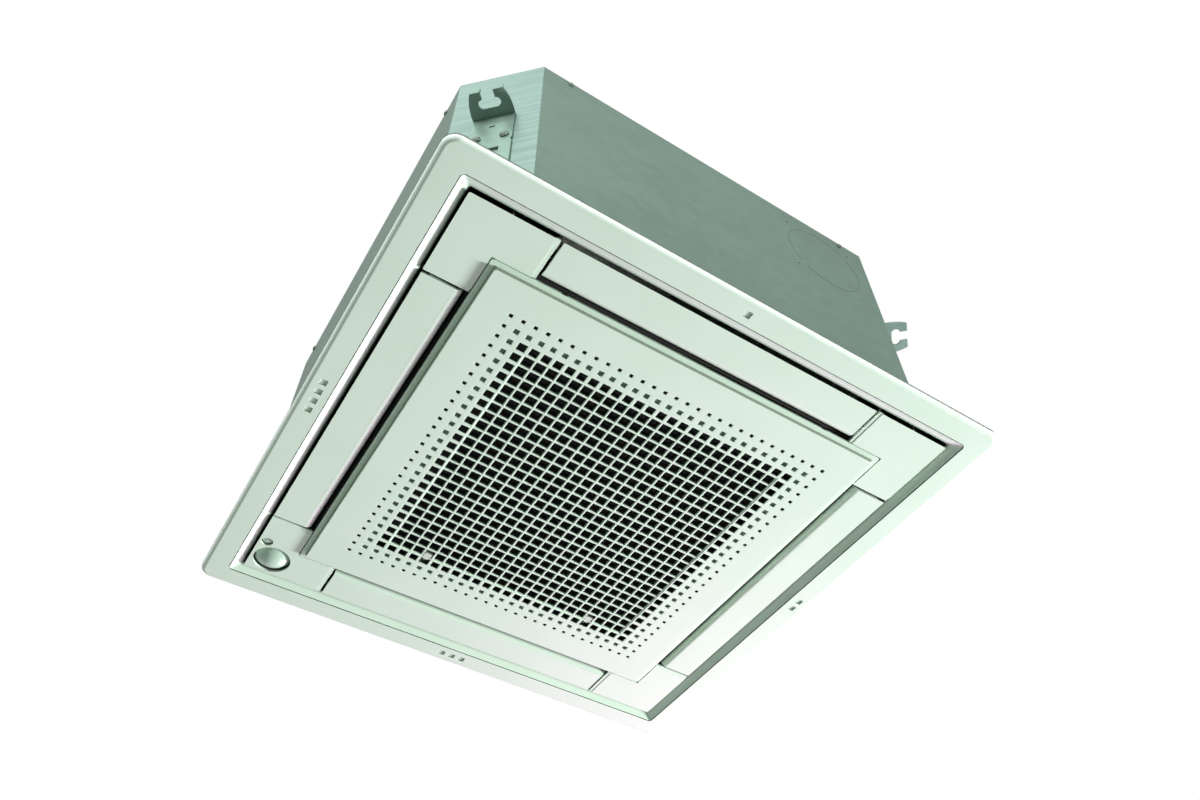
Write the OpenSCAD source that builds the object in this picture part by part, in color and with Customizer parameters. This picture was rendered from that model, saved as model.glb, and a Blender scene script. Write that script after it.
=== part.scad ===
// Ceiling cassette air conditioner: a square unit that hangs above the ceiling from four
// rods, and a flat panel below it with four air flaps round a hinged suction grille.
// Millimetres, +Z up. The origin is the centre of the grille's face, the lowest plane.
// The sides are numbered as the marks on the border count them:
// 1 is -Y (grille hinge), 2 is +X (refrigerant pipes), 3 is +Y (grille latches), 4 is -X.

/* [Panel] */
// Side of the square ceiling panel
panel_w = 620; // [610:1:630]
// Height of the panel, from its border's face to the unit
panel_h = 46; // [44:1:56]
// How far the border stands below the ceiling
flange_h = 8; // [7:0.5:9]
// Width of the flat border
border_w = 26; // [24:0.5:28]
// Radius of the panel's corners
panel_r = 14; // [10:1:18]
// Width of the bevel that leads into the recess
bevel_w = 6.5; // [6:0.25:7]
// Shadow gap round the corner covers and flaps
shadow_gap = 6.5; // [6:0.25:7]
// Width of the band of flaps between the shadow gap and the grille
band_w = 47; // [46:0.5:48]
// How far the covers and flaps are sunk behind the border's face
band_sink = 2; // [1.5:0.25:2.5]

/* [Flaps] */
// Length of one air flap
flap_len = 357; // [350:1:358]
// Height of a flap's pivot above its face
pivot_h = 9.5; // [9:0.25:10]
// Thickness of a flap's skin
flap_t = 2.5; // [2:0.25:3]

/* [Suction grille] */
// Pitch of the holes
pitch = 13; // [12.5:0.1:13.2]
// Number of holes along a side, an odd number
holes = 29; // [25:2:29]
// Width of the bars between the mesh cells
bar_w = 2.2; // [1.8:0.1:2.6]
// Depth of the mesh
mesh_depth = 8.2; // [6:0.2:8.6]
// How far the grille's face stands below the corner covers
grille_drop = 4; // [3:0.5:5]
// Thickness of the grille's skin
grille_t = 2.5; // [2:0.25:3]

/* [Unit] */
// Side of the square casing
case_w = 575; // [570:1:580]
// Height of the casing
case_h = 260; // [250:1:290]
// Leg of the casing's chamfered corners
case_corner = 66; // [62:1:70]
// Thickness of the galvanised sheet
sheet_t = 1.2; // [0.8:0.1:1.5]
// Thickness of the foam lining
foam_t = 9; // [7:0.5:10]
// Distance between the hanging rods
rod_pitch = 533; // [528:1:536]

/* [Fan and coil] */
// Radius of the turbo fan
fan_r = 169; // [160:1:172]
// Number of fan blades
blades = 8; // [6:1:9]
// Radius of the bell mouth's throat
throat_r = 136; // [130:1:138]
// Outer half side of the heat exchanger
coil_h = 222; // [218:1:224]
// Thickness of the heat exchanger
coil_t = 32; // [28:1:34]
// Pitch of the fins, drawn coarse
fin_pitch = 7; // [6:0.5:10]

/* [Hidden] */
$fn = 64;
eps = 0.01;

// Levels above the grille's face
z_band = grille_drop;
z_border = z_band - band_sink;
z_ceiling = z_border + flange_h;
z_unit = z_border + panel_h;
z_top = z_unit + case_h;
z_pan = z_unit + sheet_t;
z_coil = z_pan + 43;
z_lid = z_top - sheet_t;
z_foam = z_lid - foam_t;

// Half sides, measured from the centre
h_panel = panel_w / 2;
h_line = h_panel - border_w;
h_slot = h_line - bevel_w;
h_band = h_slot - shadow_gap;
h_grille = h_band - band_w;
h_case = case_w / 2;
wall_t = 2.5;
h_part = h_grille - 0.6;
cover_gap = 1;
end_u = flap_len / 2 + 3;
cover_u = end_u + 4.3;
wall_top = z_unit - 3;

// Grille
hinge_v = -(h_grille - 2.5);
hinge_z = z_band + 2.4;
h_tray = h_grille - 5;
h_face = h_grille - 6.5;
half_n = (holes - 1) / 2;
mesh_n = half_n - 3;
cell_w = pitch - bar_w;
h_mesh = mesh_n * pitch + cell_w / 2 + bar_w;
mesh_z = 0.6;
latch_u = 8 * pitch;
latch_v = (mesh_n + 0.42) * pitch;
bar_z = mesh_z + mesh_depth + 0.5;
lug_u = 150;
filter_z = bar_z + 6.2;
filter_h = 190;

// Flap pivot, measured outward and up
pivot_u = h_grille + 13;
pivot_z = z_band + pivot_h;
motor_u = pivot_u + 5;
motor_z = pivot_z + 6.2;

// Hanger
chamfer_out = (2 * h_case - case_corner) / sqrt(2) + 0.02;
rod_out = rod_pitch / sqrt(2) - chamfer_out;
hook_z = 200;

// Fan
shroud_z = z_unit + 38;
shroud_r = 26;
hub_z = shroud_z + 144;
nest_z = hub_z - 25;

plastic = "#E4EDE4";
zinc = "#A9BDB6";
sheet = "#7F938A";
foam = "#F4F4EF";
dark = "#2B2E2D";
copper = "#B5714A";
alloy = "#C9CDCC";

// Turns what is drawn for side 1 to side k
module side(k) {
    rotate([0, 0, 90 * (k - 1)]) children();
}

// Turns what is drawn for the corner at +X -Y to the k-th corner
module corner(k) {
    rotate([0, 0, 90 * (k - 1)]) children();
}

// Extrudes a section, drawn as outward distance and height, along side 1
module along_side(len) {
    rotate([90, 0, -90]) linear_extrude(len, center = true) children();
}

module rounded_square(h, r) {
    square([2 * h, 2 * (h - r)], center = true);
    square([2 * (h - r), 2 * h], center = true);
    for (x = [-1, 1], y = [-1, 1]) translate([x * (h - r), y * (h - r)]) circle(r = r);
}

module square_ring(h_out, h_in, z0, z1) {
    translate([0, 0, z0]) linear_extrude(z1 - z0) difference() {
        square(2 * h_out, center = true);
        square(2 * h_in, center = true);
    }
}

module rod(x, y, z0, z1, r) {
    translate([x, y, z0]) cylinder(h = z1 - z0, r = r);
}

// Rod along X from x0 to x1
module rod_x(x0, x1, y, z, r) {
    translate([x0, y, z]) rotate([0, 90, 0]) cylinder(h = x1 - x0, r = r);
}

// Casing

// Outline of the casing, moved inward by t all round
module case_outline(t) {
    h = h_case - t;
    c = case_corner - t * (2 - sqrt(2));
    polygon([[h, h - c], [h - c, h], [c - h, h], [-h, h - c],
        [-h, c - h], [c - h, -h], [h - c, -h], [h, c - h]]);
}

module case_ring(t0, t1, z0, z1) {
    translate([0, 0, z0]) linear_extrude(z1 - z0) difference() {
        case_outline(t0);
        case_outline(t1);
    }
}

knock_x = 150;
knock_z = 238;
knock_r = 51;
gas_y = 196;
liquid_y = 168;
pipe_z = 170;
nut_x = h_case + 5;
seat_x = nut_x + 6;
nut_end = h_panel - 0.5;
drain_x = 200;
drain_z = 196;

// A ring pressed into the wall round a disc that is knocked out for a fresh air duct
module knock_out() {
    translate([knock_x, -h_case - eps, knock_z]) rotate([-90, 0, 0]) difference() {
        cylinder(h = 0.4 + eps, r = knock_r + 0.5);
        translate([0, 0, -1]) cylinder(h = 3, r = knock_r - 0.5);
        for (a = [45, 135]) rotate([0, 0, a]) cube([8, 3 * knock_r, 5], center = true);
    }
    for (x = [-45, 45], z = [-45, 45])
        translate([knock_x + x, -h_case - 1, knock_z + z]) rotate([-90, 0, 0]) cylinder(h = 3, r = 1.3);
}

module casing_shell() {
    color(sheet) difference() {
        union() {
            case_ring(0, sheet_t, z_unit, z_lid);
            case_ring(sheet_t - eps, 14, z_unit, z_pan);
        }
        knock_out();
        translate([h_case - 3, liquid_y - 18, pipe_z - 22]) cube([6, gas_y - liquid_y + 40, 44]);
        translate([drain_x, h_case - 3, drain_z]) rotate([-90, 0, 0]) cylinder(h = 6, r = 14);
        for (k = [1:4]) side(k) for (x = [-188, 188]) translate([x, 2 - h_case, z_top - 6])
            rotate([90, 0, 0]) cylinder(h = 4, r = 1.65);
    }
}

// Beads pressed into the top sheet: a ring round the motor and four arms to the corners
module top_beads() {
    difference() {
        circle(r = 100);
        circle(r = 92);
    }
    for (a = [45:90:315]) rotate(a) {
        translate([118, -4]) square([182, 8]);
        for (x = [118, 300]) translate([x, 0]) circle(r = 4);
    }
}

module top_plate() {
    color(sheet) {
        difference() {
            translate([0, 0, z_lid]) linear_extrude(sheet_t) case_outline(0);
            translate([0, 0, z_top - 0.5]) linear_extrude(1) top_beads();
            for (a = [30, 150, 270]) rotate([0, 0, a]) rod(66, 0, z_lid - 1, z_top + 1, 3);
        }
        difference() {
            case_ring(sheet_t + 0.1, 2 * sheet_t, z_lid - 14, z_lid);
            for (k = [1:4]) side(k) for (x = [-188, 0, 188]) translate([x, -h_case, z_top - 6])
                rotate([-90, 0, 0]) cylinder(h = 5, r = 1.7);
        }
    }
}

module foam_liner() {
    t = 2 * sheet_t + 0.1;
    color(foam) difference() {
        union() {
            case_ring(t, t + foam_t, z_coil, z_foam + eps);
            translate([0, 0, z_foam]) linear_extrude(foam_t) case_outline(t);
        }
        for (a = [30, 150, 270]) rotate([0, 0, a]) rod(66, 0, z_foam - 1, z_lid + 1, 10);
        translate([h_case - 40, liquid_y - 18, pipe_z - 22]) cube([40, gas_y - liquid_y + 40, 44]);
        translate([drain_x, h_case - 40, drain_z]) rotate([-90, 0, 0]) cylinder(h = 40, r = 16);
    }
}

// Hanger bracket, drawn with its foot on the plane x = 0 and the hook pointing to +X
hook_t = 2.5;
hook_w = 43.6;
hook_len = 30;
slot_r = 4.75;
slot_half = 11.5;

// Oblong along Y with round ends
module oblong(half, r) {
    square([2 * r, 2 * (half - r)], center = true);
    for (y = [-1, 1]) translate([0, y * (half - r)]) circle(r = r);
}

module hook_plate() {
    w = hook_w / 2;
    difference() {
        polygon([[0, -w], [9, -w], [15, -21.3], [20, -20.4], [25, -19], [hook_len, -17],
            [hook_len, 17], [25, 19], [20, 20.4], [15, 21.3], [9, w], [0, w]]);
        translate([rod_out, 0]) oblong(slot_half, slot_r);
        translate([rod_out, -6.7]) square([40, 13.4]);
    }
}

// The upturned horn at the end of one arm, highest on its +Y side
module hook_horn(y) {
    translate([hook_len - hook_t, y, 0]) rotate([90, 0, 90]) linear_extrude(hook_t)
        polygon([[0, 0], [10.3, 0], [10.3, 7], [8.3, 4.5], [3, hook_t]]);
}

module bracket() {
    translate([0, 0, hook_z - hook_t]) linear_extrude(hook_t) hook_plate();
    for (y = [-17, 6.7]) translate([0, 0, hook_z]) hook_horn(y);
    difference() {
        translate([0, -hook_w / 2, z_unit + 10]) cube([hook_t, hook_w, hook_z - hook_t - z_unit - 10]);
        translate([-1, 0, 175]) rotate([0, 90, 0]) linear_extrude(5) oblong(3.3, 1.6);
        translate([-1, -10, 116]) cube([5, 20, 11]);
        for (y = [-14, 14], z = [76, 150]) translate([-1, y, z]) rotate([0, 90, 0]) cylinder(h = 5, r = 2.6);
        translate([-1, hook_w / 2 - 1.2, 138]) cube([5, 2, 4]);
    }
}

module hanger_bracket(k) {
    color(zinc) corner(k) rotate([0, 0, -45]) translate([chamfer_out, 0, 0]) bracket();
}

module screw_head(r, h) {
    cylinder(h = h * 0.45, r = r);
    translate([0, 0, h * 0.45]) cylinder(h = h * 0.55, r1 = r, r2 = r * 0.62);
}

module casing_screws() {
    color(alloy) {
        for (k = [1:4]) side(k) for (x = [-188, 188]) translate([x, -h_case, z_top - 6]) rotate([90, 0, 0]) {
            screw_head(3.4, 2);
            translate([0, 0, -1.2]) cylinder(h = 1.2 + eps, r = 1.6);
        }
        for (k = [1:4]) corner(k) rotate([0, 0, -45]) for (y = [-14, 14], z = [76, 150])
            translate([chamfer_out + hook_t, y, z]) rotate([0, 90, 0]) {
                screw_head(4.6, 2.8);
                translate([0, 0, -hook_t]) cylinder(h = hook_t + eps, r = 2.5);
            }
    }
}

// Heat exchanger and refrigerant circuit

coil_end = 128;
coil_r = 56;

module coil_outline(t) {
    difference() {
        rounded_square(coil_h - t, coil_r - t);
        rounded_square(coil_h - coil_t + t, coil_r - coil_t + t);
        translate([coil_end, coil_end]) square(200);
    }
}

// Slots between the fins on the straight runs, on the outer and the inner face
module fin_slots() {
    run = coil_h - coil_r;
    for (k = [0:3], i = [0:floor(2 * run / fin_pitch)], f = [0, 1])
        let (x = -run + i * fin_pitch)
        if (k != 2 && k != 1 || (k == 2 && x > -coil_end + 4) || (k == 1 && x < coil_end - 8))
            rotate(90 * k) translate([x, -coil_h + f * (coil_t - 6) - (1 - f)]) square([fin_pitch * 0.55, 7]);
}

module heat_exchanger() {
    color(alloy) translate([0, 0, z_coil]) linear_extrude(z_foam - z_coil) difference() {
        coil_outline(0);
        fin_slots();
    }
}

plate_t = 1.5;

// One end plate for each end of the coil, the second mirrored about the diagonal
module coil_end_plate() {
    translate([coil_end, coil_h - coil_t - 2, z_coil]) cube([plate_t, coil_t + 4, z_foam - z_coil]);
}

module coil_end_plates() {
    color(zinc) {
        coil_end_plate();
        mirror([1, -1, 0]) coil_end_plate();
    }
}

bend_n = 7;

module return_bend(x, y, z) {
    translate([x, y, z]) rotate([90, 0, 0]) rotate_extrude(angle = 180, start = -90)
        translate([9, 0]) circle(r = 3.5, $fn = 24);
}

module coil_bends() {
    x = coil_end + plate_t;
    color(copper) {
        for (i = [0:bend_n - 1], row = [0, 1])
            return_bend(x, coil_h - coil_t + 9 + 14 * row, z_coil + 22 + 26 * i);
        mirror([1, -1, 0]) for (i = [0:bend_n - 1])
            return_bend(x, coil_h - coil_t + 23, z_coil + 22 + 26 * i);
    }
}

// Gas header with one stub for each circuit, and the pipe that leaves through side 2
module gas_pipe() {
    x = coil_h - coil_t + 7;
    y = coil_end + 20;
    color(copper) {
        difference() {
            union() {
                rod(x, y, z_coil + 14, z_coil + 188, 8);
                for (i = [0:bend_n - 1]) translate([x, coil_end + plate_t, z_coil + 22 + 26 * i])
                    rotate([-90, 0, 0]) cylinder(h = y - coil_end - plate_t, r = 3.5);
                translate([x, y, pipe_z]) rotate([-90, 0, 0]) cylinder(h = gas_y - y - 14, r = 6.35);
                translate([x + 14, gas_y - 14, pipe_z]) rotate([0, 0, 90])
                    rotate_extrude(angle = 90) translate([14, 0]) circle(r = 6.35, $fn = 48);
                rod_x(x + 14, seat_x, gas_y, pipe_z, 6.35);
            }
            rod_x(h_case - 8, seat_x + 1, gas_y, pipe_z, 5.35);
        }
    }
}

// Quarter bend of a tube: it starts along +X at the origin and turns towards +Y
module elbow(bend_r, r) {
    translate([0, bend_r, 0]) rotate([0, 0, -90]) rotate_extrude(angle = 90, $fn = 48)
        translate([bend_r, 0]) circle(r = r, $fn = 48);
}

module liquid_pipe() {
    x = coil_h - coil_t + 24;
    y = coil_end + plate_t;
    b = 10;
    r = 3.175;
    color(copper) difference() {
        union() {
            translate([x, y, z_coil + 6]) rotate([-90, 0, 0]) cylinder(h = 8, r = r);
            translate([x, y + 8, z_coil + 6]) rotate([0, 0, 90]) rotate([90, 0, 0]) elbow(b, r);
            rod(x, y + 8 + b, z_coil + 6 + b, pipe_z - b, r);
            translate([x, y + 8 + b, pipe_z - b]) rotate([0, -90, 0]) elbow(b, r);
            translate([x, y + 8 + 2 * b, pipe_z]) rotate([-90, 0, 0]) cylinder(h = liquid_y - y - 8 - 3 * b, r = r);
            translate([x + b, liquid_y, pipe_z]) rotate([0, 0, 180]) elbow(b, r);
            rod_x(x + b, seat_x, liquid_y, pipe_z, r);
        }
        rod_x(h_case - 8, seat_x + 1, liquid_y, pipe_z, r - 0.8);
    }
}

// Flare union on the end of a pipe: a hexagon, a neck, the thread's outside and the flare cone
module flare_union(y, r_pipe, r_hex, r_thread, wall) {
    len = nut_end - nut_x;
    translate([nut_x, y, pipe_z]) rotate([0, 90, 0]) difference() {
        union() {
            cylinder(h = 5.5, r = r_hex, $fn = 6);
            cylinder(h = 8, r = r_thread - 0.8);
            translate([0, 0, 7]) cylinder(h = len - 10, r = r_thread);
            translate([0, 0, len - 3]) cylinder(h = 3, r1 = r_thread, r2 = r_pipe + 0.2);
        }
        translate([0, 0, -1]) cylinder(h = seat_x - nut_x + 1.1, r = r_pipe + 0.1);
        translate([0, 0, 3]) cylinder(h = len, r = r_pipe - wall);
    }
}

module flare_unions() {
    color("#C8A951") {
        flare_union(gas_y, 6.35, 13, 9.525, 1);
        flare_union(liquid_y, 3.175, 9, 5.556, 0.8);
    }
}

module pipe_cover() {
    y0 = liquid_y - 23;
    w = gas_y - liquid_y + 48;
    color(zinc) difference() {
        translate([h_case, y0, pipe_z - 27]) cube([sheet_t, w, 54]);
        rod_x(h_case - 1, h_case + 5, gas_y, pipe_z, 7.5);
        rod_x(h_case - 1, h_case + 5, liquid_y, pipe_z, 4.5);
        for (y = [y0 + 5, y0 + w - 5], z = [pipe_z - 22, pipe_z + 22]) rod_x(h_case - 1, h_case + 5, y, z, 2);
    }
}

// Drain

pan_t = sheet_t + 0.4;
pump_c = 214;
duct_in = h_grille + 8;
duct_out = h_grille + 51;
duct_half = 172;

module drain_pan() {
    color(foam) difference() {
        translate([0, 0, z_pan]) linear_extrude(z_coil - z_pan) case_outline(pan_t);
        rod(0, 0, z_pan - 1, z_coil + 1, fan_r + 2);
        for (k = [1:4]) side(k) translate([-duct_half, -duct_out, z_pan - 1])
            cube([2 * duct_half, duct_out - duct_in, z_coil - z_pan + 2]);
        translate([0, 0, z_pan - 1]) linear_extrude(wall_t + 2.2) square(2 * 216.5, center = true);
        translate([0, 0, z_coil - 18]) linear_extrude(19) difference() {
            rounded_square(coil_h + 4, coil_r);
            rounded_square(coil_h - coil_t - 4, coil_r - coil_t);
        }
        translate([pump_c, pump_c, z_coil - 18]) cylinder(h = 19, r = 32);
    }
}

module drain_pump() {
    color("#DCDCD6") difference() {
        union() {
            rod(pump_c, pump_c, z_coil - 14, z_coil + 4, 12);
            rod(pump_c, pump_c, z_coil + 4, z_coil + 34, 23);
            rod(pump_c, pump_c, z_coil + 34, z_coil + 62, 19);
            translate([pump_c, pump_c, z_coil + 20]) rotate([0, 0, 90])
                translate([0, -8, -6]) cube([30, 16, 12]);
        }
        rod(pump_c, pump_c, z_coil + 7, z_coil + 31, 20);
        rod(pump_c, pump_c, z_coil - 15, z_coil + 8, 9);
        translate([pump_c, pump_c + 18, z_coil + 20]) rotate([-90, 0, 0]) cylinder(h = 13, r = 5);
    }
}

// Vaned rotor with a tapered foot that lifts the water
module pump_impeller() {
    color("#3E6FA0") {
        rod(pump_c, pump_c, z_coil - 12, z_coil + 28, 3);
        for (a = [0:60:300]) translate([pump_c, pump_c, z_coil + 9]) rotate([0, 0, a])
            translate([2, -0.8, 0]) cube([15, 1.6, 16]);
        rod(pump_c, pump_c, z_coil + 25 - eps, z_coil + 27, 18);
        for (a = [0:90:270]) translate([pump_c, pump_c, z_coil - 11]) rotate([0, 0, a])
            translate([2, -0.7, 0]) cube([5, 1.4, 18]);
    }
}

// Rigid discharge pipe from the pump to the stub outside side 3
module drain_pipe() {
    r = 13;
    y = pump_c + 44;
    color("#D8DAD5") difference() {
        union() {
            translate([pump_c, pump_c + 30, z_coil + 20]) rotate([-90, 0, 0]) cylinder(h = 4, r = 8);
            translate([pump_c, pump_c + 34, z_coil + 20]) rotate([0, 0, 90]) rotate([90, 0, 0]) elbow(10, 8);
            rod(pump_c, y, z_coil + 30, drain_z + 6, 8);
            translate([drain_x, y - 10, drain_z]) rotate([-90, 0, 0]) cylinder(h = h_case + 1 - y + 10, r = r - 0.4);
            translate([drain_x, h_case + 1, drain_z]) rotate([-90, 0, 0]) cylinder(h = nut_end - h_case - 1, r = r);
        }
        translate([drain_x, y, drain_z]) rotate([-90, 0, 0]) cylinder(h = h_panel + 1 - y, r = r - 3);
    }
}

float_x = 178;
float_y = 207;

module float_stem() {
    color("#DCDCD6") {
        rod(float_x, float_y, z_coil - 16, z_coil + 60, 3);
        rod(float_x, float_y, z_coil - 16, z_coil - 14, 6);
        rod(float_x, float_y, z_coil + 10, z_coil + 12, 6);
        translate([float_x - 6, float_y - 6, z_coil + 60 - eps]) cube([12, 12, 8]);
        translate([float_x - 6, float_y + 6 - eps, z_coil + 62]) cube([12, h_case - 11.8 - float_y - 6, 4]);
    }
}

module float_ring() {
    color("#E8E8E2") difference() {
        rod(float_x, float_y, z_coil - 13.9, z_coil + 2, 10);
        rod(float_x, float_y, z_coil - 15, z_coil + 3, 3.1);
    }
}

// Air intake and fan

flare_r = 29;

module bell_section() {
    intersection() {
        translate([throat_r + flare_r, z_pan + flare_r]) difference() {
            circle(r = flare_r, $fn = 96);
            circle(r = flare_r - wall_t, $fn = 96);
        }
        translate([throat_r, z_pan]) square(flare_r);
    }
    translate([throat_r, z_pan + flare_r]) square([wall_t, 14]);
}

module bell_mouth() {
    color("#D9DCD6") {
        rotate_extrude($fn = 128) bell_section();
        translate([0, 0, z_pan]) linear_extrude(wall_t) difference() {
            square(2 * 216, center = true);
            circle(r = throat_r + flare_r - eps);
        }
        for (a = [0:30:330]) rotate([0, 0, a]) translate([throat_r + flare_r + 1, -1, z_pan + wall_t - eps])
            cube([40, 2, 0.8]);
    }
}

motor_r = 56;
motor_z0 = nest_z + 12;

module fan_motor() {
    color("#8D9396") difference() {
        union() {
            rod(0, 0, motor_z0, z_foam - 6, motor_r - 6);
            rod(0, 0, motor_z0 + 14, z_foam - 20, motor_r);
            rod(0, 0, motor_z0 - 5, motor_z0 + eps, 14);
            for (a = [30, 150, 270]) rotate([0, 0, a]) translate([40, -12, z_foam - 9]) cube([38, 24, 3]);
            for (a = [0:15:345]) rotate([0, 0, a]) translate([motor_r - 2, -1, motor_z0 + 18]) cube([5, 2, 40]);
        }
        rod(0, 0, motor_z0 - 6, motor_z0 + 50, 6.05);
        for (a = [30, 150, 270]) rotate([0, 0, a]) rod(66, 0, z_foam - 10, z_foam, 4);
    }
}

// Rubber bushes under the top sheet, with the bolts that go through them
module motor_feet() {
    color(dark) for (a = [30, 150, 270]) rotate([0, 0, a]) {
        rod(66, 0, z_foam - 6, z_lid, 9);
        rod(66, 0, z_foam - 12, z_foam - 6 + eps, 4);
        rod(66, 0, z_foam - 14, z_foam - 9, 8);
        rod(66, 0, z_lid - eps, z_top, 2.9);
    }
}

module motor_shaft() {
    color(alloy) difference() {
        rod(0, 0, nest_z - 18, motor_z0 + 46, 6);
        for (a = [0, 180]) rotate([0, 0, a]) translate([5, -6, nest_z - 19]) cube([4, 12, 22]);
    }
}

module fan_nut() {
    color(alloy) difference() {
        union() {
            translate([0, 0, nest_z - 16]) cylinder(h = 7, r = 10, $fn = 6);
            rod(0, 0, nest_z - 9, nest_z - 7, 13);
        }
        rod(0, 0, nest_z - 17, nest_z - 6, 6);
    }
}

// One backward-curved blade. Its plan is the lens between two arcs over the same chord,
// from lead to trail; its height is cut by the section between the shroud and the hub.
lead = [88, 0];
trail = [174 * cos(40), 174 * sin(40)];
blade_face_r = 95;
blade_back_r = 140;

function arc_centre(a, b, r) = let (d = b - a, half = norm(d) / 2)
    (a + b) / 2 + [-d[1], d[0]] / (2 * half) * sqrt(r * r - half * half);

module blade_plan() {
    difference() {
        translate(arc_centre(lead, trail, blade_face_r)) circle(r = blade_face_r, $fn = 128);
        translate(arc_centre(lead, trail, blade_back_r)) circle(r = blade_back_r, $fn = 128);
    }
}

module blade_height() {
    difference() {
        polygon([[98, hub_z - 2], [101, shroud_z + 70], [112, shroud_z + 34], [128, shroud_z + 13],
            [144, shroud_z + 4], [fan_r - 1, shroud_z + 4], [fan_r - 1, hub_z - 2]]);
        translate([fan_r, shroud_z]) circle(r = shroud_r - 0.6, $fn = 96);
    }
}

module blade() {
    intersection() {
        translate([0, 0, shroud_z]) linear_extrude(hub_z - shroud_z) blade_plan();
        rotate_extrude($fn = 128) blade_height();
    }
}

// Outer shell of the shroud's torus, seen as a section
module shroud_section(r0, r1) {
    intersection() {
        translate([fan_r, shroud_z]) difference() {
            circle(r = r1, $fn = 96);
            circle(r = r0, $fn = 96);
        }
        translate([fan_r - shroud_r, shroud_z]) square(shroud_r);
    }
}

module hub_section() {
    t = 3;
    polygon([[22, nest_z - t], [72, nest_z - t], [101, hub_z - t], [fan_r, hub_z - t],
        [fan_r, hub_z], [100, hub_z], [71, nest_z], [22, nest_z]]);
    translate([6, nest_z - 7]) square([17, 13.5]);
}

module turbo_fan() {
    color("#C7CCC8") {
        rotate_extrude($fn = 128) shroud_section(shroud_r - wall_t, shroud_r);
        rotate_extrude($fn = 128) hub_section();
        for (i = [0:blades - 1]) rotate([0, 0, i * 360 / blades]) blade();
        for (a = [0:60:300]) rotate([0, 0, a]) translate([22, -1.2, nest_z - 6.5]) cube([30, 2.4, 4]);
    }
}

// Control box on the bell mouth, over side 2
box_x = 169;
box_w = 45;
box_len = 300;
box_z = z_pan - 25;

module control_box() {
    color(zinc) difference() {
        union() {
            translate([box_x, -box_len / 2, box_z]) cube([box_w, box_len, z_pan - box_z]);
            for (y = [-1, 1]) translate([box_x + 8, y * (box_len / 2 + 7) - 8, z_pan - sheet_t])
                cube([box_w - 16, 16, sheet_t]);
        }
        translate([box_x + sheet_t, sheet_t - box_len / 2, box_z - 1])
            cube([box_w - 2 * sheet_t, box_len - 2 * sheet_t, z_pan - box_z]);
        translate([box_x + box_w / 2, -box_len / 2 - 2, box_z + 12]) rotate([-90, 0, 0]) cylinder(h = 5, r = 7);
    }
}

module control_lid() {
    color(zinc) difference() {
        union() {
            translate([box_x, -box_len / 2, box_z - sheet_t]) cube([box_w, box_len, sheet_t]);
            for (y = [-110, 110]) translate([box_x + box_w / 2, y, box_z - sheet_t - 1.6])
                cylinder(h = 1.6 + eps, r1 = 2.4, r2 = 4);
        }
        for (y = [-40:10:40]) translate([box_x + 10, y, box_z - 3]) cube([box_w - 20, 3, 5]);
    }
}

// Circuit board on four posts, with its terminal strip, relays and capacitors
module control_board() {
    x = box_x + 5;
    z = z_pan - sheet_t - 6;
    color("#2F6B46") {
        translate([x, -box_len / 2 + 8, z]) cube([box_w - 10, box_len - 16, 1.6]);
        for (px = [x + 4, x + box_w - 14], py = [-130, 130]) rod(px, py, z + 1.6 - eps, z_pan - sheet_t - 1, 2);
        translate([x + 6, -132, z - 13]) cube([22, 60, 13 + eps]);
        for (py = [-40, -18, 4]) translate([x + 8, py, z - 11]) cube([16, 14, 11 + eps]);
        for (py = [40, 58, 76]) rod(x + 16, py, z - 14, z + eps, 7);
        translate([x + 6, 100, z - 6]) cube([20, 20, 6 + eps]);
    }
}

module air_thermistor() {
    color(dark) {
        translate([-178, -34, z_pan - 4]) cube([10, 8, 4]);
        rod(-173, -42, z_pan - 9, z_pan - 3, 3);
        translate([-175, -42, z_pan - 5]) cube([4, 10, 3]);
    }
}

// Panel

// Closed ring lofted through [half side, height, corner radius] points, n facets a corner
function ring_points(h, z, r, n) = [for (k = [0:3], j = [0:n])
    let (a = 90 * k + 90 * j / n,
        sx = (k == 0 || k == 3) ? 1 : -1,
        sy = k < 2 ? 1 : -1)
    [sx * (h - r) + r * cos(a), sy * (h - r) + r * sin(a), z]];

module ring_loft(profile, n) {
    m = 4 * (n + 1);
    p = len(profile);
    points = [for (q = profile) each ring_points(q[0], q[1], q[2], n)];
    faces = [for (i = [0:p - 1], j = [0:m - 1])
        let (a = i * m + j, b = i * m + (j + 1) % m,
            c = (i + 1) % p * m + (j + 1) % m, d = (i + 1) % p * m + j)
        each [[a, c, b], [a, d, c]]];
    polyhedron(points, faces);
}

// Border, rim, bevel and the outer wall of the air outlets, as one moulded section
module border_ring() {
    t = wall_t;
    ring_loft([
        [h_panel, z_ceiling, panel_r], [h_panel - 3, z_ceiling, panel_r - 3],
        [h_panel - 3.2, z_border + 4.6, panel_r - 3.2], [h_panel - 5, z_border + t + 0.5, panel_r - 5],
        [h_line - 0.5, z_border + t + 0.5, 5], [h_slot + t, z_border + t + 5, 3.5],
        [h_slot + t, wall_top, 3.5], [h_slot, wall_top, 2.5],
        [h_slot, z_border + 4, 2.5], [h_line - 0.8, z_border + 0.6, 4],
        [h_line - 0.5, z_border + 0.6, 4.3], [h_line, z_border, 4.8],
        [h_panel - 5, z_border, panel_r - 5], [h_panel - 2.6, z_border + 0.5, panel_r - 2.6],
        [h_panel - 0.8, z_border + 1.9, panel_r - 0.8], [h_panel, z_border + 4.2, panel_r]], 5);
}

// Marks on the border that number the outlets: one square on side 1, up to four on side 4
module mark_squares() {
    for (k = [1:4]) side(k) for (i = [0:k - 1])
        translate([(i - (k - 1) / 2) * pitch - 3.6, -(h_panel - 14.8) - 3.6, z_border - 1]) cube([7.2, 7.2, 1.6]);
}

screw_x = 212;
screw_y = 264;

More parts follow.
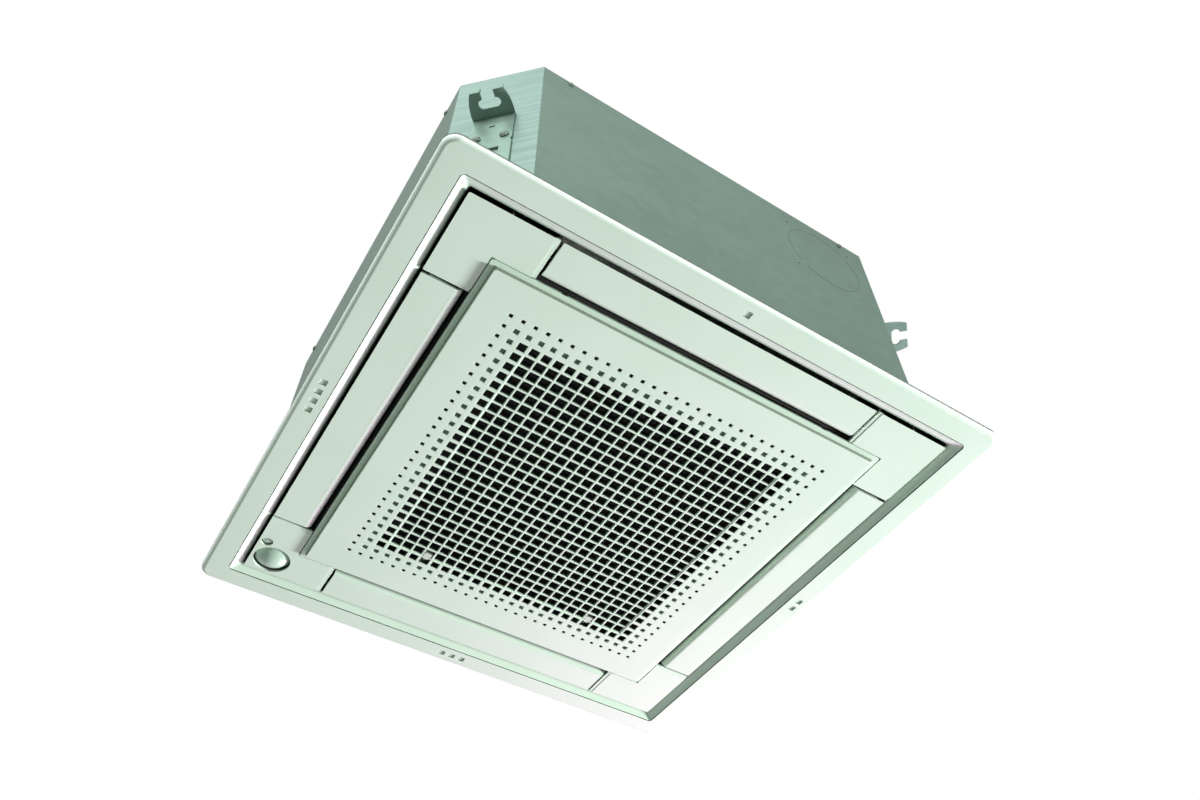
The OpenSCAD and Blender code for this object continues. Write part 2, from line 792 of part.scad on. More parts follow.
// One end wall of an air outlet, across from the inner to the outer wall
module outlet_end() {
    translate([end_u, -h_slot - eps, z_band + 4.7]) cube([wall_t, h_slot - h_part - 0.8, wall_top - z_band - 4.7]);
}

module panel_corner() {
    translate([end_u, -h_slot - eps, wall_top - wall_t])
        cube([h_slot - end_u + eps, h_slot - h_part + 0.2, wall_t]);
    translate([h_part - 0.2, -h_part - 0.3, wall_top - wall_t])
        cube([h_slot - h_part + 0.2 + eps, h_part + 0.3 - end_u, wall_t]);
    for (q = [[screw_x, -screw_y], [screw_y, -screw_x]]) rod(q[0], q[1], wall_top - 20, wall_top, 6);
}

module hinge_lug(x) {
    translate([x - 2.5, -h_part - 0.5, hinge_z]) cube([5, 3.2, 12]);
    rod_x(x - 2.5, x + 2.5, hinge_v, hinge_z, 2.2);
}

module panel_frame() {
    color(plastic) difference() {
        union() {
            border_ring();
            square_ring(h_part + wall_t, h_part, z_band + 6.5, wall_top);
            for (k = [1:4]) side(k) {
                outlet_end();
                mirror([1, 0, 0]) outlet_end();
                panel_corner();
            }
            for (x = [-lug_u, lug_u]) hinge_lug(x);
        }
        mark_squares();
        for (x = [-lug_u, lug_u]) rod_x(x - 3, x + 3, hinge_v, hinge_z, 1.05);
        for (k = [1:4]) side(k) {
            rod_x(-end_u - 5, end_u + 5, -pivot_u, pivot_z, 4.6);
            for (q = [[screw_x, -screw_y], [screw_y, -screw_x]]) rod(q[0], q[1], wall_top - 22, wall_top + 2, 2.6);
        }
        for (x = [-latch_u, latch_u]) translate([x - 8, h_part - 2, z_band + 6]) cube([16, wall_t + 4, 7]);
    }
}

// Foam strips between the panel's walls and the unit
module panel_seal() {
    color(dark) {
        square_ring(h_slot + wall_t, h_slot - 1, wall_top, z_unit);
        square_ring(h_part + wall_t + 2, h_part - 1, wall_top, z_unit);
    }
}

module cover_plan() {
    difference() {
        rounded_square(h_band, 2);
        square(2 * (h_grille + cover_gap), center = true);
        translate([-h_panel, -h_panel]) square([h_panel + cover_u - 1.5, panel_w]);
        translate([-h_panel, -h_panel]) square([panel_w, h_panel + cover_u - 1.5]);
    }
}

// Section of a cover with its edge sloped back towards the flap
module cover_slope(h) {
    polygon([[cover_u, 0], [cover_u - 1.4, h], [320, h], [320, 0]]);
}

// Corner cover, drawn in the +X +Y corner: the face, a sunk lip at each flap and snap posts
module cover_body(posts) {
    t = wall_t;
    translate([0, 0, z_band]) intersection() {
        linear_extrude(t) cover_plan();
        translate([0, 300, 0]) rotate([90, 0, 0]) linear_extrude(300) cover_slope(t);
        rotate([90, 0, 90]) linear_extrude(300) cover_slope(t);
    }
    for (m = [0, 1]) mirror([m, -m, 0]) {
        translate([end_u + 0.2, h_grille + 2.6, z_band + t - eps]) cube([12, h_band - h_grille - 3.2, 1.5]);
    }
    for (m = posts) mirror([m, -m, 0]) translate([h_grille + 3.5, h_band - 10, z_band + t - eps])
        cube([2, 9, wall_top - wall_t - z_band - t - 0.2]);
}

module corner_cover(k) {
    color(plastic) rotate([0, 0, 90 * k]) cover_body([0, 1]);
}

dome_c = 247;
dome_hole_r = 20.3;
lens_x = -261.5;
lens_y = 221.8;
lens_hole_r = 6.3;

module sensor_cover() {
    color(plastic) difference() {
        rotate([0, 0, 90]) cover_body([1]);
        rod(-dome_c, dome_c, z_band - 1, z_band + 50, dome_hole_r);
        rod(lens_x, lens_y, z_band - 1, z_band + 50, lens_hole_r);
    }
}

// Lens dome of the presence sensor: a flat spherical cap on a short collar
module sensor_dome() {
    cap = 6.5;
    r = dome_hole_r - 1.4;
    rs = (r * r + cap * cap) / (2 * cap);
    color("#DDEFE2") translate([-dome_c, dome_c, 0]) {
        intersection() {
            translate([0, 0, z_band + 3 - cap + rs]) sphere(r = rs, $fn = 96);
            translate([0, 0, z_band - 5]) cylinder(h = 8 + eps, r = r);
        }
        translate([0, 0, z_band + 3]) cylinder(h = 5, r = r);
    }
}

module sensor_housing() {
    color(dark) difference() {
        union() {
            rod(-dome_c, dome_c, z_band + 4.4, z_band + 22, dome_hole_r + 2);
            translate([-dome_c - 6, dome_c - 30, z_band + 12]) cube([24, 20, 6]);
            rod(lens_x, lens_y, z_band + 4.4, z_band + 18, lens_hole_r + 1.5);
        }
        rod(-dome_c, dome_c, z_band + 4, z_band + 8, dome_hole_r - 1.4);
        rod(lens_x, lens_y, z_band + 4, z_band + 8, lens_hole_r - 1);
    }
}

module floor_lens() {
    r = lens_hole_r - 1;
    color("#CFE0D6") {
        intersection() {
            translate([lens_x, lens_y, z_band + 10.2]) sphere(r = 9.2, $fn = 64);
            rod(lens_x, lens_y, z_band - 2, z_band + 3 + eps, r);
        }
        rod(lens_x, lens_y, z_band + 3, z_band + 8, r);
    }
}

module panel_screws() {
    color(alloy) for (k = [1:4]) side(k) translate([screw_x, -screw_y, 0]) {
        rod(0, 0, wall_top - 20, z_unit - 0.2, 2.5);
        rod(0, 0, wall_top - 21.5, wall_top - 20, 6);
        difference() {
            rod(0, 0, wall_top - 25, wall_top - 21.5 + eps, 4.8);
            for (a = [0, 90]) rotate([0, 0, a]) translate([-3, -0.6, wall_top - 26]) cube([6, 1.2, 3]);
        }
    }
}

// Air flaps

// Section of the skin: a nose round the pivot, a flat face and an upturned outer lip
module flap_skin() {
    difference() {
        union() {
            intersection() {
                translate([pivot_u, pivot_z]) circle(r = pivot_h);
                translate([pivot_u - pivot_h, z_band]) square([pivot_h, pivot_h + 1.5]);
            }
            translate([pivot_u - eps, z_band]) square([h_band - pivot_u + eps, flap_t]);
            translate([h_band - flap_t, z_band]) square([flap_t, 5]);
        }
        translate([pivot_u, pivot_z]) circle(r = pivot_h - flap_t);
    }
}

module flap_web() {
    translate([pivot_u, pivot_z]) circle(r = 6.5);
    polygon([[pivot_u - 5, pivot_z - 6.8], [h_band - flap_t, z_band + flap_t - 0.2],
        [h_band - flap_t, z_band + 4.5], [pivot_u + 8, pivot_z + 3.5], [pivot_u, pivot_z + 6.4]]);
}

module flap_body() {
    along_side(flap_len) flap_skin();
    for (x = [-1, 1]) translate([x * (flap_len / 2 - 1.25), 0, 0]) along_side(2.5) flap_web();
    for (x = [-100, 0, 100]) translate([x, 0, 0]) along_side(2) flap_web();
}

module flap(k) {
    color(plastic) side(k) difference() {
        union() {
            flap_body();
            rod_x(-end_u - wall_t - 1.2, -flap_len / 2 + 1, -pivot_u, pivot_z, 3);
            rod_x(flap_len / 2 - 1, end_u + wall_t + 0.3, -pivot_u, pivot_z, 3.5);
        }
        rod_x(flap_len / 2 - 8, end_u + 10, -pivot_u, pivot_z, 2);
    }
}

// Geared stepper behind the outlet's end wall
module flap_motor(k) {
    x = end_u + wall_t + 1.4;
    color(alloy) side(k) difference() {
        union() {
            rod_x(x, x + 17, -motor_u, motor_z, 11.5);
            rod_x(x - 1.1, x, -pivot_u, pivot_z, 4);
            translate([x, -motor_u - 15.5, motor_z - 3]) cube([1, 31, 6]);
            translate([x + 3, -motor_u - 7, motor_z + 10]) cube([12, 14, 5]);
        }
        rod_x(x - 2, x + 12, -pivot_u, pivot_z, 2.05);
    }
}

module flap_shaft(k) {
    color(zinc) side(k) rod_x(flap_len / 2 - 7.5, end_u + wall_t + 12, -pivot_u, pivot_z, 2);
}

// Flanged bushes in the end walls, one at each end of each flap
module flap_bushes() {
    color("#B9BDB9") for (k = [1:4]) side(k) {
        difference() {
            union() {
                rod_x(end_u - 0.5, end_u + wall_t, -pivot_u, pivot_z, 4.6);
                rod_x(end_u - 1, end_u, -pivot_u, pivot_z, 6);
            }
            rod_x(end_u - 2, end_u + wall_t + 1, -pivot_u, pivot_z, 3.55);
        }
        difference() {
            union() {
                rod_x(-end_u - wall_t, -end_u + 0.5, -pivot_u, pivot_z, 4.6);
                rod_x(-end_u, -end_u + 1, -pivot_u, pivot_z, 6);
            }
            rod_x(-end_u - wall_t - 1, -end_u + 2, -pivot_u, pivot_z, 3.05);
        }
    }
}

// Suction grille

module square_grid(n, w, p) {
    for (i = [-n:n], j = [-n:n]) translate([i * p, j * p]) square(w, center = true);
}

// Squares of width w on the ring of holes that is n pitches from the centre
module hole_ring(n, w) {
    for (i = [-n:n], j = [-n:n]) if (max(abs(i), abs(j)) == n) translate([i * pitch, j * pitch]) square(w, center = true);
}

// Opening for one latch knob: a mesh cell joined with the hole beyond it
module latch_window(x) {
    translate([x - cell_w / 2, mesh_n * pitch - cell_w / 2]) square([cell_w, pitch + 4.45 + cell_w / 2]);
}

module latch_windows() {
    latch_window(-latch_u);
    latch_window(latch_u);
}

// Cuts the raised tray's wall back to a slope along side 1
module tray_slope() {
    along_side(2 * h_grille + 20) polygon([[h_face, -1], [h_face, 0], [h_face + 0.35, 0.4],
        [h_tray - 0.4, z_band], [h_tray + 12, z_band], [h_tray + 12, -1]]);
}

// Chamfer under the edge of the ledge, which clears the covers as the grille swings
module ledge_chamfer() {
    along_side(2 * h_grille + 20) polygon([[h_grille - 0.8, z_band - 1], [h_grille - 0.8, z_band],
        [h_grille, z_band + 0.8], [h_grille + 2, z_band + 0.8], [h_grille + 2, z_band - 1]]);
}

module grille_skin() {
    difference() {
        union() {
            translate([0, 0, z_band]) linear_extrude(3) rounded_square(h_grille, 3);
            linear_extrude(z_band + eps) rounded_square(h_tray, 2);
        }
        for (k = [1:4]) side(k) {
            tray_slope();
            ledge_chamfer();
        }
        translate([0, 0, grille_t]) linear_extrude(10) rounded_square(h_face - grille_t, 2);
        translate([0, 0, -1]) linear_extrude(grille_t + 2) {
            square(2 * h_mesh - 1, center = true);
            hole_ring(half_n - 2, 8.9);
            hole_ring(half_n, 3.4);
            latch_windows();
        }
        translate([0, 0, -1]) linear_extrude(2.3) hole_ring(half_n - 1, 5.6);
        for (x = [-lug_u, lug_u]) {
            translate([x - 3.2, -h_grille - 1, z_band - eps]) cube([6.4, 6.2, 10]);
            rod_x(x - 12, x + 12, hinge_v, hinge_z, 1);
        }
    }
}

module grille_mesh() {
    translate([0, 0, mesh_z]) linear_extrude(mesh_depth) difference() {
        square(2 * h_mesh, center = true);
        square_grid(mesh_n, cell_w, pitch);
        latch_windows();
    }
}

// Bearing of one hinge pin, a boss on each side of the frame's lug
module hinge_boss(x) {
    for (s = [-1, 1]) translate([x + s * 7, 0, 0]) difference() {
        rod_x(-3.6, 3.6, hinge_v, hinge_z, 2.2);
        rod_x(-5, 5, hinge_v, hinge_z, 1);
    }
}

// A bridge that guides a latch bar
module latch_guide(x, y) {
    difference() {
        translate([x - 8, y, grille_t - eps]) cube([16, 6, filter_z - grille_t - 0.4]);
        translate([x - 5, y - 1, bar_z - 0.2]) cube([10, 8, 3]);
        translate([x - 3, y - 1, -1]) cube([6, 8, bar_z]);
    }
}

rib_h = filter_z - grille_t;

module suction_grille() {
    color(plastic) {
        grille_skin();
        grille_mesh();
        for (x = [-lug_u, lug_u]) hinge_boss(x);
        for (x = [-latch_u, latch_u], y = [168, 204]) latch_guide(x, y);
        for (k = [1:4]) side(k) for (x = [-170, -50, 50, 170]) translate([x - 1.2, -212, grille_t - eps])
            cube([2.4, 18, rib_h - 0.1]);
        for (k = [1:4]) side(k) for (x = [-176, 176]) translate([x - 6, -filter_h - 2.6, grille_t - eps])
            cube([12, 2, rib_h + 4]);
    }
}

module hinge_pins() {
    color(alloy) for (x = [-lug_u, lug_u]) rod_x(x - 10, x + 10, hinge_v, hinge_z, 1);
}

// Latch: a finger knob in its window, and a bar behind the mesh that reaches the edge
module latch(x) {
    w = 8.6;
    color("#D5DDD4") {
        translate([x, latch_v, mesh_z + 0.4]) linear_extrude(bar_z - mesh_z - 0.4 + eps) hull() {
            translate([-w / 2 + 3, 2]) circle(r = 3, $fn = 32);
            translate([w / 2 - 3, 2]) circle(r = 3, $fn = 32);
            translate([-w / 2, -5]) square([w, 1]);
        }
        translate([x - w / 2, latch_v - 5, bar_z]) cube([w, h_part - 0.6 - latch_v + 5, 2.4]);
    }
}

module filter_frame() {
    h = filter_h;
    z0 = filter_z;
    color("#3A3F3D") {
        square_ring(h, h - 6, z0, z0 + 3.4);
        for (i = [-3:3]) translate([i * h / 4 - 1, -h + 5, z0 + 1.2]) cube([2, 2 * h - 10, 2.2]);
        for (i = [-3:3]) translate([-h + 5, i * h / 4 - 1, z0 + 1.2]) cube([2 * h - 10, 2, 2.2]);
    }
}

// The fine net, drawn as a thin sheet under the ribs
module filter_net() {
    color(dark) translate([-filter_h + 6, -filter_h + 6, filter_z + 0.6]) cube([2 * filter_h - 12, 2 * filter_h - 12, 0.6]);
}

casing_shell();
top_plate();
foam_liner();
hanger_bracket(1);  // hanger_bracket_1
hanger_bracket(2);  // hanger_bracket_2
hanger_bracket(3);  // hanger_bracket_3
hanger_bracket(4);  // hanger_bracket_4
casing_screws();
heat_exchanger();
coil_end_plates();
coil_bends();
gas_pipe();
liquid_pipe();
flare_unions();
pipe_cover();
drain_pan();
drain_pipe();
drain_pump();
pump_impeller();
float_stem();
float_ring();
bell_mouth();
fan_motor();
motor_feet();
motor_shaft();
turbo_fan();
fan_nut();
control_box();
control_lid();
control_board();
air_thermistor();
panel_frame();
panel_seal();
corner_cover(3);  // corner_cover_12
corner_cover(0);  // corner_cover_23
sensor_cover();  // corner_cover_34
corner_cover(2);  // corner_cover_41
flap(1);  // flap_1
flap(2);  // flap_2
flap(3);  // flap_3
flap(4);  // flap_4
flap_motor(1);  // flap_motor_1
flap_motor(2);  // flap_motor_2
flap_motor(3);  // flap_motor_3
flap_motor(4);  // flap_motor_4
flap_shaft(1);  // flap_shaft_1
flap_shaft(2);  // flap_shaft_2
flap_shaft(3);  // flap_shaft_3
flap_shaft(4);  // flap_shaft_4
flap_bushes();
suction_grille();
filter_frame();
filter_net();
latch(-latch_u);  // latch_left
latch(latch_u);  // latch_right
hinge_pins();
sensor_dome();
sensor_housing();
floor_lens();
panel_screws();
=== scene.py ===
import math

import bpy
import numpy as np
from mathutils import Matrix, Vector
from mathutils.geometry import tessellate_polygon


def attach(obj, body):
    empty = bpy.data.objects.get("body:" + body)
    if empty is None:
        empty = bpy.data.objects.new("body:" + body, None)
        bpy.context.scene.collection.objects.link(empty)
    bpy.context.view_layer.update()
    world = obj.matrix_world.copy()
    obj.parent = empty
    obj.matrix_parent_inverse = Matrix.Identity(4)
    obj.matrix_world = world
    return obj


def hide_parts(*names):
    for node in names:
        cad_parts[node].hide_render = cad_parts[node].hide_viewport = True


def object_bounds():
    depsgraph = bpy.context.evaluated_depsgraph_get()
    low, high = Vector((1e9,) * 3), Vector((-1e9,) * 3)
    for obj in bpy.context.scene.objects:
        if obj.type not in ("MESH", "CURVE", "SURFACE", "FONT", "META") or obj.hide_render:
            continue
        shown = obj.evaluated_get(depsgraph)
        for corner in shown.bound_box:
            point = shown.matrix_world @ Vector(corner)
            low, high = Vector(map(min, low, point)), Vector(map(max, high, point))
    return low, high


# A ceiling cassette air conditioner, seen from below as it hangs: a boxy unit of zinc-coated
# sheet on four hooks, and under it a moulded panel with four air flaps round a suction grille.
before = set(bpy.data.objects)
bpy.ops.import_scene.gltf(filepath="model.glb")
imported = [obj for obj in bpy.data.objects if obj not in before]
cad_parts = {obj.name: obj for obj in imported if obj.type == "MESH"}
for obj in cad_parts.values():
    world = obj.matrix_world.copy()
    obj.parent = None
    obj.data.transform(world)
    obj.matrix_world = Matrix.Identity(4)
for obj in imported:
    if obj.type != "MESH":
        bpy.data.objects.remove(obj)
cad_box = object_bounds()


# Camera. The picture was taken from below, off one corner of the panel; the lens and the place
# were worked out from the panel's 620 mm side. Camera, lamps and floor are placed in metres.

CAMERA_AT = (-0.3939, -0.6616, -0.7557)
CAMERA_TURN = math.radians(-32.59)
CAMERA_TILT = math.radians(-50.767)
CAMERA_ROLL = math.radians(-0.526)
FOCAL_PX = 1012.5
IMAGE_W = 1200


def place_camera():
    """Looks along (-sin a cos e, cos a cos e, -sin e), then rolls about that line."""
    a, e, r = CAMERA_TURN, CAMERA_TILT, CAMERA_ROLL
    back = Vector((math.sin(a) * math.cos(e), -math.cos(a) * math.cos(e), math.sin(e)))
    right = (-back).cross(Vector((0, 0, 1))).normalized()
    up = right.cross(-back)
    right, up = right * math.cos(r) + up * math.sin(r), up * math.cos(r) - right * math.sin(r)
    data = bpy.data.cameras.new("camera")
    data.sensor_width = 36
    data.lens = FOCAL_PX * data.sensor_width / IMAGE_W
    data.clip_start = 0.01
    camera = bpy.data.objects.new("camera", data)
    bpy.context.scene.collection.objects.link(camera)
    camera.matrix_world = Matrix.Translation(CAMERA_AT) @ Matrix((right, up, back)).transposed().to_4x4()
    bpy.context.scene.camera = camera


place_camera()


# Studio. White paper all round and under the unit. One small hard lamp at the right rakes the
# panel's face, and large soft ones fill the casing's sides.

def linear(code):
    """sRGB hex code to a linear opaque colour: ((c + 0.055) / 1.055) ** 2.4 above 0.04045, c / 12.92 below."""
    c = np.array([int(code[i:i + 2], 16) for i in (1, 3, 5)]) / 255
    c = np.where(c > 0.04045, ((c + 0.055) / 1.055) ** 2.4, c / 12.92)
    return (*c.tolist(), 1.0)


def add(tree, kind, settings=None, **inputs):
    """Adds a shader node with its settings; an input is a value, a socket, or a node for its first output."""
    n = tree.nodes.new(kind)
    for key, value in (settings or {}).items():
        setattr(n, key, value)
    for key, value in inputs.items():
        socket = n.inputs[int(key[1:]) if key[1:].isdigit() else key.replace("_", " ")]
        if isinstance(value, bpy.types.Node):
            value = value.outputs[0]
        if isinstance(value, bpy.types.NodeSocket):
            tree.links.new(value, socket)
        else:
            socket.default_value = value
    return n


def white_backdrop(tree, lit, white, share=1.0):
    """Lights with the lit shader, and shows a share of white to the camera, in gloss and through glass."""
    path = add(tree, "ShaderNodeLightPath").outputs
    seen = add(tree, "ShaderNodeMath", {"operation": "MAXIMUM"},
               _0=path["Is Camera Ray"], _1=path["Is Transmission Ray"])
    seen = add(tree, "ShaderNodeMath", {"operation": "MAXIMUM"}, _0=seen, _1=path["Is Glossy Ray"])
    part = add(tree, "ShaderNodeMath", {"operation": "MULTIPLY"}, _0=seen, _1=share)
    return add(tree, "ShaderNodeMixShader", _0=part, _1=lit, _2=white)


def paper_world():
    """A world that lights the unit faintly, with the green of the room, and looks white."""
    world = bpy.data.worlds.new("studio")
    world.use_nodes = True
    tree = world.node_tree
    tree.nodes.clear()
    lit = add(tree, "ShaderNodeBackground", Color=linear("#E9FFEE"), Strength=0.24)
    white = add(tree, "ShaderNodeBackground", Color=linear("#FFFFFF"), Strength=1.0)
    add(tree, "ShaderNodeOutputWorld", Surface=white_backdrop(tree, lit, white))
    bpy.context.scene.world = world


def lamp(name, at, aim, size, watts, colour="#FFFFFF"):
    """A square soft box of the given size, at one point and aimed at another."""
    data = bpy.data.lights.new(name, "AREA")
    data.size = size
    data.energy = watts
    data.color = linear(colour)[:3]
    data.spread = math.radians(90)
    o = bpy.data.objects.new(name, data)
    bpy.context.scene.collection.objects.link(o)
    o.location = at
    o.rotation_euler = (Vector(aim) - Vector(at)).to_track_quat("-Z", "Y").to_euler()


bpy.context.scene.view_settings.view_transform = "Standard"
paper_world()
lamp("key", at=(3.3, -0.6, -0.88), aim=(0, 0, 0), size=0.5, watts=62)
lamp("sheen", at=(1.9, 2.3, -1.2), aim=(0.1, 0.1, 0), size=1.4, watts=11.3, colour="#FFB7F2")
lamp("side", at=(-0.25, -2.0, 0.75), aim=(0, 0, 0.15), size=1.0, watts=6.2)
lamp("left", at=(-1.9, -1.2, 0.75), aim=(0, 0, 0.15), size=1.0, watts=11.8)
lamp("high", at=(-1.1, -0.55, 2.1), aim=(-0.2, -0.2, 0.2), size=1.2, watts=2.6)

FLOOR_Z = -2.6
FLOOR_HALF = 6.0


def white_paper():
    """Matt paper that takes the unit's shadow, and four fifths of whose look is plain white."""
    m = bpy.data.materials.new("white_paper_floor")
    m.use_nodes = True
    t = m.node_tree
    t.nodes.clear()
    body = add(t, "ShaderNodeBsdfDiffuse", Color=linear("#F4F4F2"))
    white = add(t, "ShaderNodeEmission", Color=linear("#FFFFFF"), Strength=1.0)
    add(t, "ShaderNodeOutputMaterial", Surface=white_backdrop(t, body, white, 0.8))
    return m


def lay_floor():
    """One square sheet of paper below the unit."""
    corners = [(x * FLOOR_HALF, y * FLOOR_HALF, FLOOR_Z) for x, y in ((-1, -1), (1, -1), (1, 1), (-1, 1))]
    mesh = bpy.data.meshes.new("floor")
    mesh.from_pydata(corners, [], [(0, 1, 2, 3)])
    mesh.materials.append(white_paper())
    floor = bpy.data.objects.new("floor", mesh)
    bpy.context.scene.collection.objects.link(floor)


lay_floor()


# Casing. A box of folded zinc-coated steel sheet with chamfered corners, closed by a top plate
# and screwed together; a bracket with a hook for the hanging rod is screwed to each corner.

def start(name):
    """An empty node material and its tree."""
    m = bpy.data.materials.new(name)
    m.use_nodes = True
    m.node_tree.nodes.clear()
    return m, m.node_tree


def coat(tree, **inputs):
    """Ends a material: its patterns go into one Principled shader."""
    shader = add(tree, "ShaderNodeBsdfPrincipled", **inputs)
    add(tree, "ShaderNodeOutputMaterial", Surface=shader)


def in_mm(tree, size, stretch=(1, 1, 1)):
    """Object coordinates counted in steps of size millimetres, and drawn out by stretch along each axis."""
    at = add(tree, "ShaderNodeTexCoord").outputs["Object"]
    return add(tree, "ShaderNodeMapping", Vector=at, Scale=tuple(1000 / size / s for s in stretch))


def two_tone(tree, factor, span, low, high):
    """A colour that runs from low to high as factor crosses the span."""
    part = add(tree, "ShaderNodeMapRange", _0=factor, _1=span[0], _2=span[1])
    low, high = linear(low), linear(high)
    return add(tree, "ShaderNodeMix", {"data_type": "RGBA"}, _0=part, _6=low, _7=high).outputs[2]


CHAMFER_SUM = 508.5


def galvanised(name, dark, light, rough, metallic, edge, corners=None):
    """Zinc-coated sheet: grey-green and matt, with faint crystals of the zinc under fine rolling marks.

    The crystals are 14 mm across, and the marks, 1.6 mm wide and drawn coarser than real so that they
    show, run round the casing. edge tints the glancing reflection. corners gives the two brighter,
    streaked colours of the chamfered corners, where |x| + |y| is over CHAMFER_SUM: a painted sheen
    with painted streaks of highlight, for the light these faces reflect.
    """
    m, t = start(name)
    cells = add(t, "ShaderNodeTexVoronoi", Vector=in_mm(t, 14), Scale=1.0)
    crystal = add(t, "ShaderNodeSeparateColor", Color=cells.outputs["Color"])
    rolled = add(t, "ShaderNodeTexNoise", Vector=in_mm(t, 1.6, (50, 50, 1)), Scale=1.0, Detail=2.0)
    cloud = add(t, "ShaderNodeTexNoise", Vector=in_mm(t, 180), Scale=1.0, Detail=1.0)
    base = add(t, "ShaderNodeMapRange", _0=cloud, _3=0.3, _4=0.7)
    mixed = add(t, "ShaderNodeMath", {"operation": "MULTIPLY_ADD"}, _0=crystal, _1=0.15, _2=base)
    mixed = add(t, "ShaderNodeMath", {"operation": "MULTIPLY_ADD"}, _0=rolled, _1=0.6, _2=mixed)
    tone = two_tone(t, mixed, (0.65, 1.0), dark, light)
    # The chamfered corners: a painted sheen, brighter and streaked, for the light they reflect.
    if corners:
        at = add(t, "ShaderNodeSeparateXYZ", Vector=in_mm(t, 1))
        x, y = (add(t, "ShaderNodeMath", {"operation": "ABSOLUTE"}, _0=at.outputs[i]) for i in (0, 1))
        out = add(t, "ShaderNodeMath", {"operation": "ADD"}, _0=x, _1=y)
        cut = add(t, "ShaderNodeMath", {"operation": "GREATER_THAN"}, _0=out, _1=CHAMFER_SUM)
        own = two_tone(t, rolled, (0.3, 0.7), *corners)
        tone = add(t, "ShaderNodeMix", {"data_type": "RGBA"}, _0=cut, _6=tone, _7=own).outputs[2]
    coat(t, Base_Color=tone, Metallic=metallic, Specular_Tint=linear(edge),
         Roughness=add(t, "ShaderNodeMapRange", _0=rolled, _3=rough - 0.07, _4=rough + 0.07),
         Normal=add(t, "ShaderNodeBump", Distance=0.012 / 1000, Height=rolled))
    return m


def plain(name, low, high, rough, metallic, grain_mm, depth_mm):
    """A plain finish: a faint cloud 20 mm across in its colour, and a fine grain in gloss and surface."""
    m, t = start(name)
    cloud = add(t, "ShaderNodeTexNoise", Vector=in_mm(t, 20), Scale=1.0, Detail=2.0)
    grain = add(t, "ShaderNodeTexNoise", Vector=in_mm(t, grain_mm), Scale=1.0, Detail=2.0)
    coat(t, Base_Color=two_tone(t, cloud, (0.35, 0.65), low, high), Metallic=metallic,
         Roughness=add(t, "ShaderNodeMapRange", _0=grain, _3=rough - 0.05, _4=rough + 0.05),
         Normal=add(t, "ShaderNodeBump", Distance=depth_mm / 1000, Height=grain))
    return m


def dress(material, *names):
    """Gives CAD nodes a material of their own."""
    for n in names:
        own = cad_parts[n].data.materials
        own.clear()
        own.append(material)


# Hot-dip zinc dulled by age: grey-green sides, and the chamfered corners painted brighter, a painted sheen.
casing_zinc = galvanised("zinc_coated_sheet", "#6B7E74", "#75897F", 0.42, 0.5, "#4A625A",
                         ("#71867F", "#899F99"))
dress(casing_zinc, "casing_shell", "top_plate")

# The same sheet, less dulled: slightly lighter and with more shine.
bright_zinc = galvanised("bright_zinc_sheet", "#6F857C", "#7F958C", 0.4, 0.6, "#6F8A80")
dress(bright_zinc, *(f"hanger_bracket_{k}" for k in range(1, 5)))

# Electroplated steel of screws, pins and shafts: a dark, soft metal shine.
plated_steel = plain("zinc_plated_steel", "#4D5A54", "#56635D", 0.45, 1.0, 0.6, 0.006)
dress(plated_steel, "casing_screws")


# Insulation. The lining and the drain pan are moulded of polystyrene beads pressed together, a
# strip of soft foam seals the panel to the unit, and rubber feet carry the motor.

def polystyrene():
    """Beads 4 mm across, white and quite matt, with a thin grey seam sunk round each."""
    m, t = start("polystyrene_foam")
    beads = add(t, "ShaderNodeTexVoronoi", {"feature": "DISTANCE_TO_EDGE"}, Vector=in_mm(t, 4), Scale=1.0)
    seam = add(t, "ShaderNodeMapRange", _0=beads.outputs["Distance"], _3=0.0, _4=3.0)
    coat(t, Base_Color=two_tone(t, seam, (0.0, 0.3), "#DADAD2", "#F4F4EE"), Roughness=0.9,
         Normal=add(t, "ShaderNodeBump", Distance=0.15 / 1000, Height=seam))
    return m


dress(polystyrene(), "foam_liner", "drain_pan", "float_ring")

# Open-cell foam: black, rough and without any shine.
dress(plain("black_cell_foam", "#191B1B", "#232525", 0.94, 0.0, 0.9, 0.12), "panel_seal")

# Moulded rubber: black with a dull, even surface.
dress(plain("black_rubber", "#121313", "#181919", 0.7, 0.0, 0.4, 0.01), "motor_feet", "air_thermistor")


# Coil and pipes. Thin aluminium fins are pressed on copper tubes between two end plates of
# sheet, and the two pipes leave through a cover plate to turned brass unions.

def aluminium_fins():
    """Bright fins, drawn 4 mm apart so that they show, as dark and light bands that stand upright."""
    m, t = start("aluminium_fins")
    upright = in_mm(t, 4.0, (1, 1, 400))
    fins = add(t, "ShaderNodeTexWave", {"bands_direction": "DIAGONAL"}, Vector=upright, Scale=1.0)
    coat(t, Base_Color=two_tone(t, fins.outputs["Fac"], (0.2, 0.9), "#8E9594", "#D5D9D8"),
         Roughness=0.35, Metallic=0.9)
    return m


def drawn_copper():
    """Drawn tube with a warm shine, clouded darker by patches of oxide 12 mm across."""
    m, t = start("drawn_copper")
    oxide = add(t, "ShaderNodeTexNoise", Vector=in_mm(t, 12), Scale=1.0, Detail=3.0)
    coat(t, Base_Color=two_tone(t, oxide, (0.3, 0.7), "#8F4E36", "#C97F5C"), Roughness=0.3, Metallic=1.0)
    return m


dress(aluminium_fins(), "heat_exchanger")
dress(bright_zinc, "coil_end_plates", "pipe_cover")
dress(drawn_copper(), "coil_bends", "gas_pipe", "liquid_pipe")

# Turned brass: yellow and bright, with fine tool marks.
dress(plain("turned_brass", "#BE9B4F", "#CCAB5E", 0.28, 1.0, 0.3, 0.004), "flare_unions")


# Fan, drain and electric box. A moulded fan on the motor's shaft draws air through a bell mouth,
# a small pump with a float lifts the drain water, and a sheet box holds the circuit board.

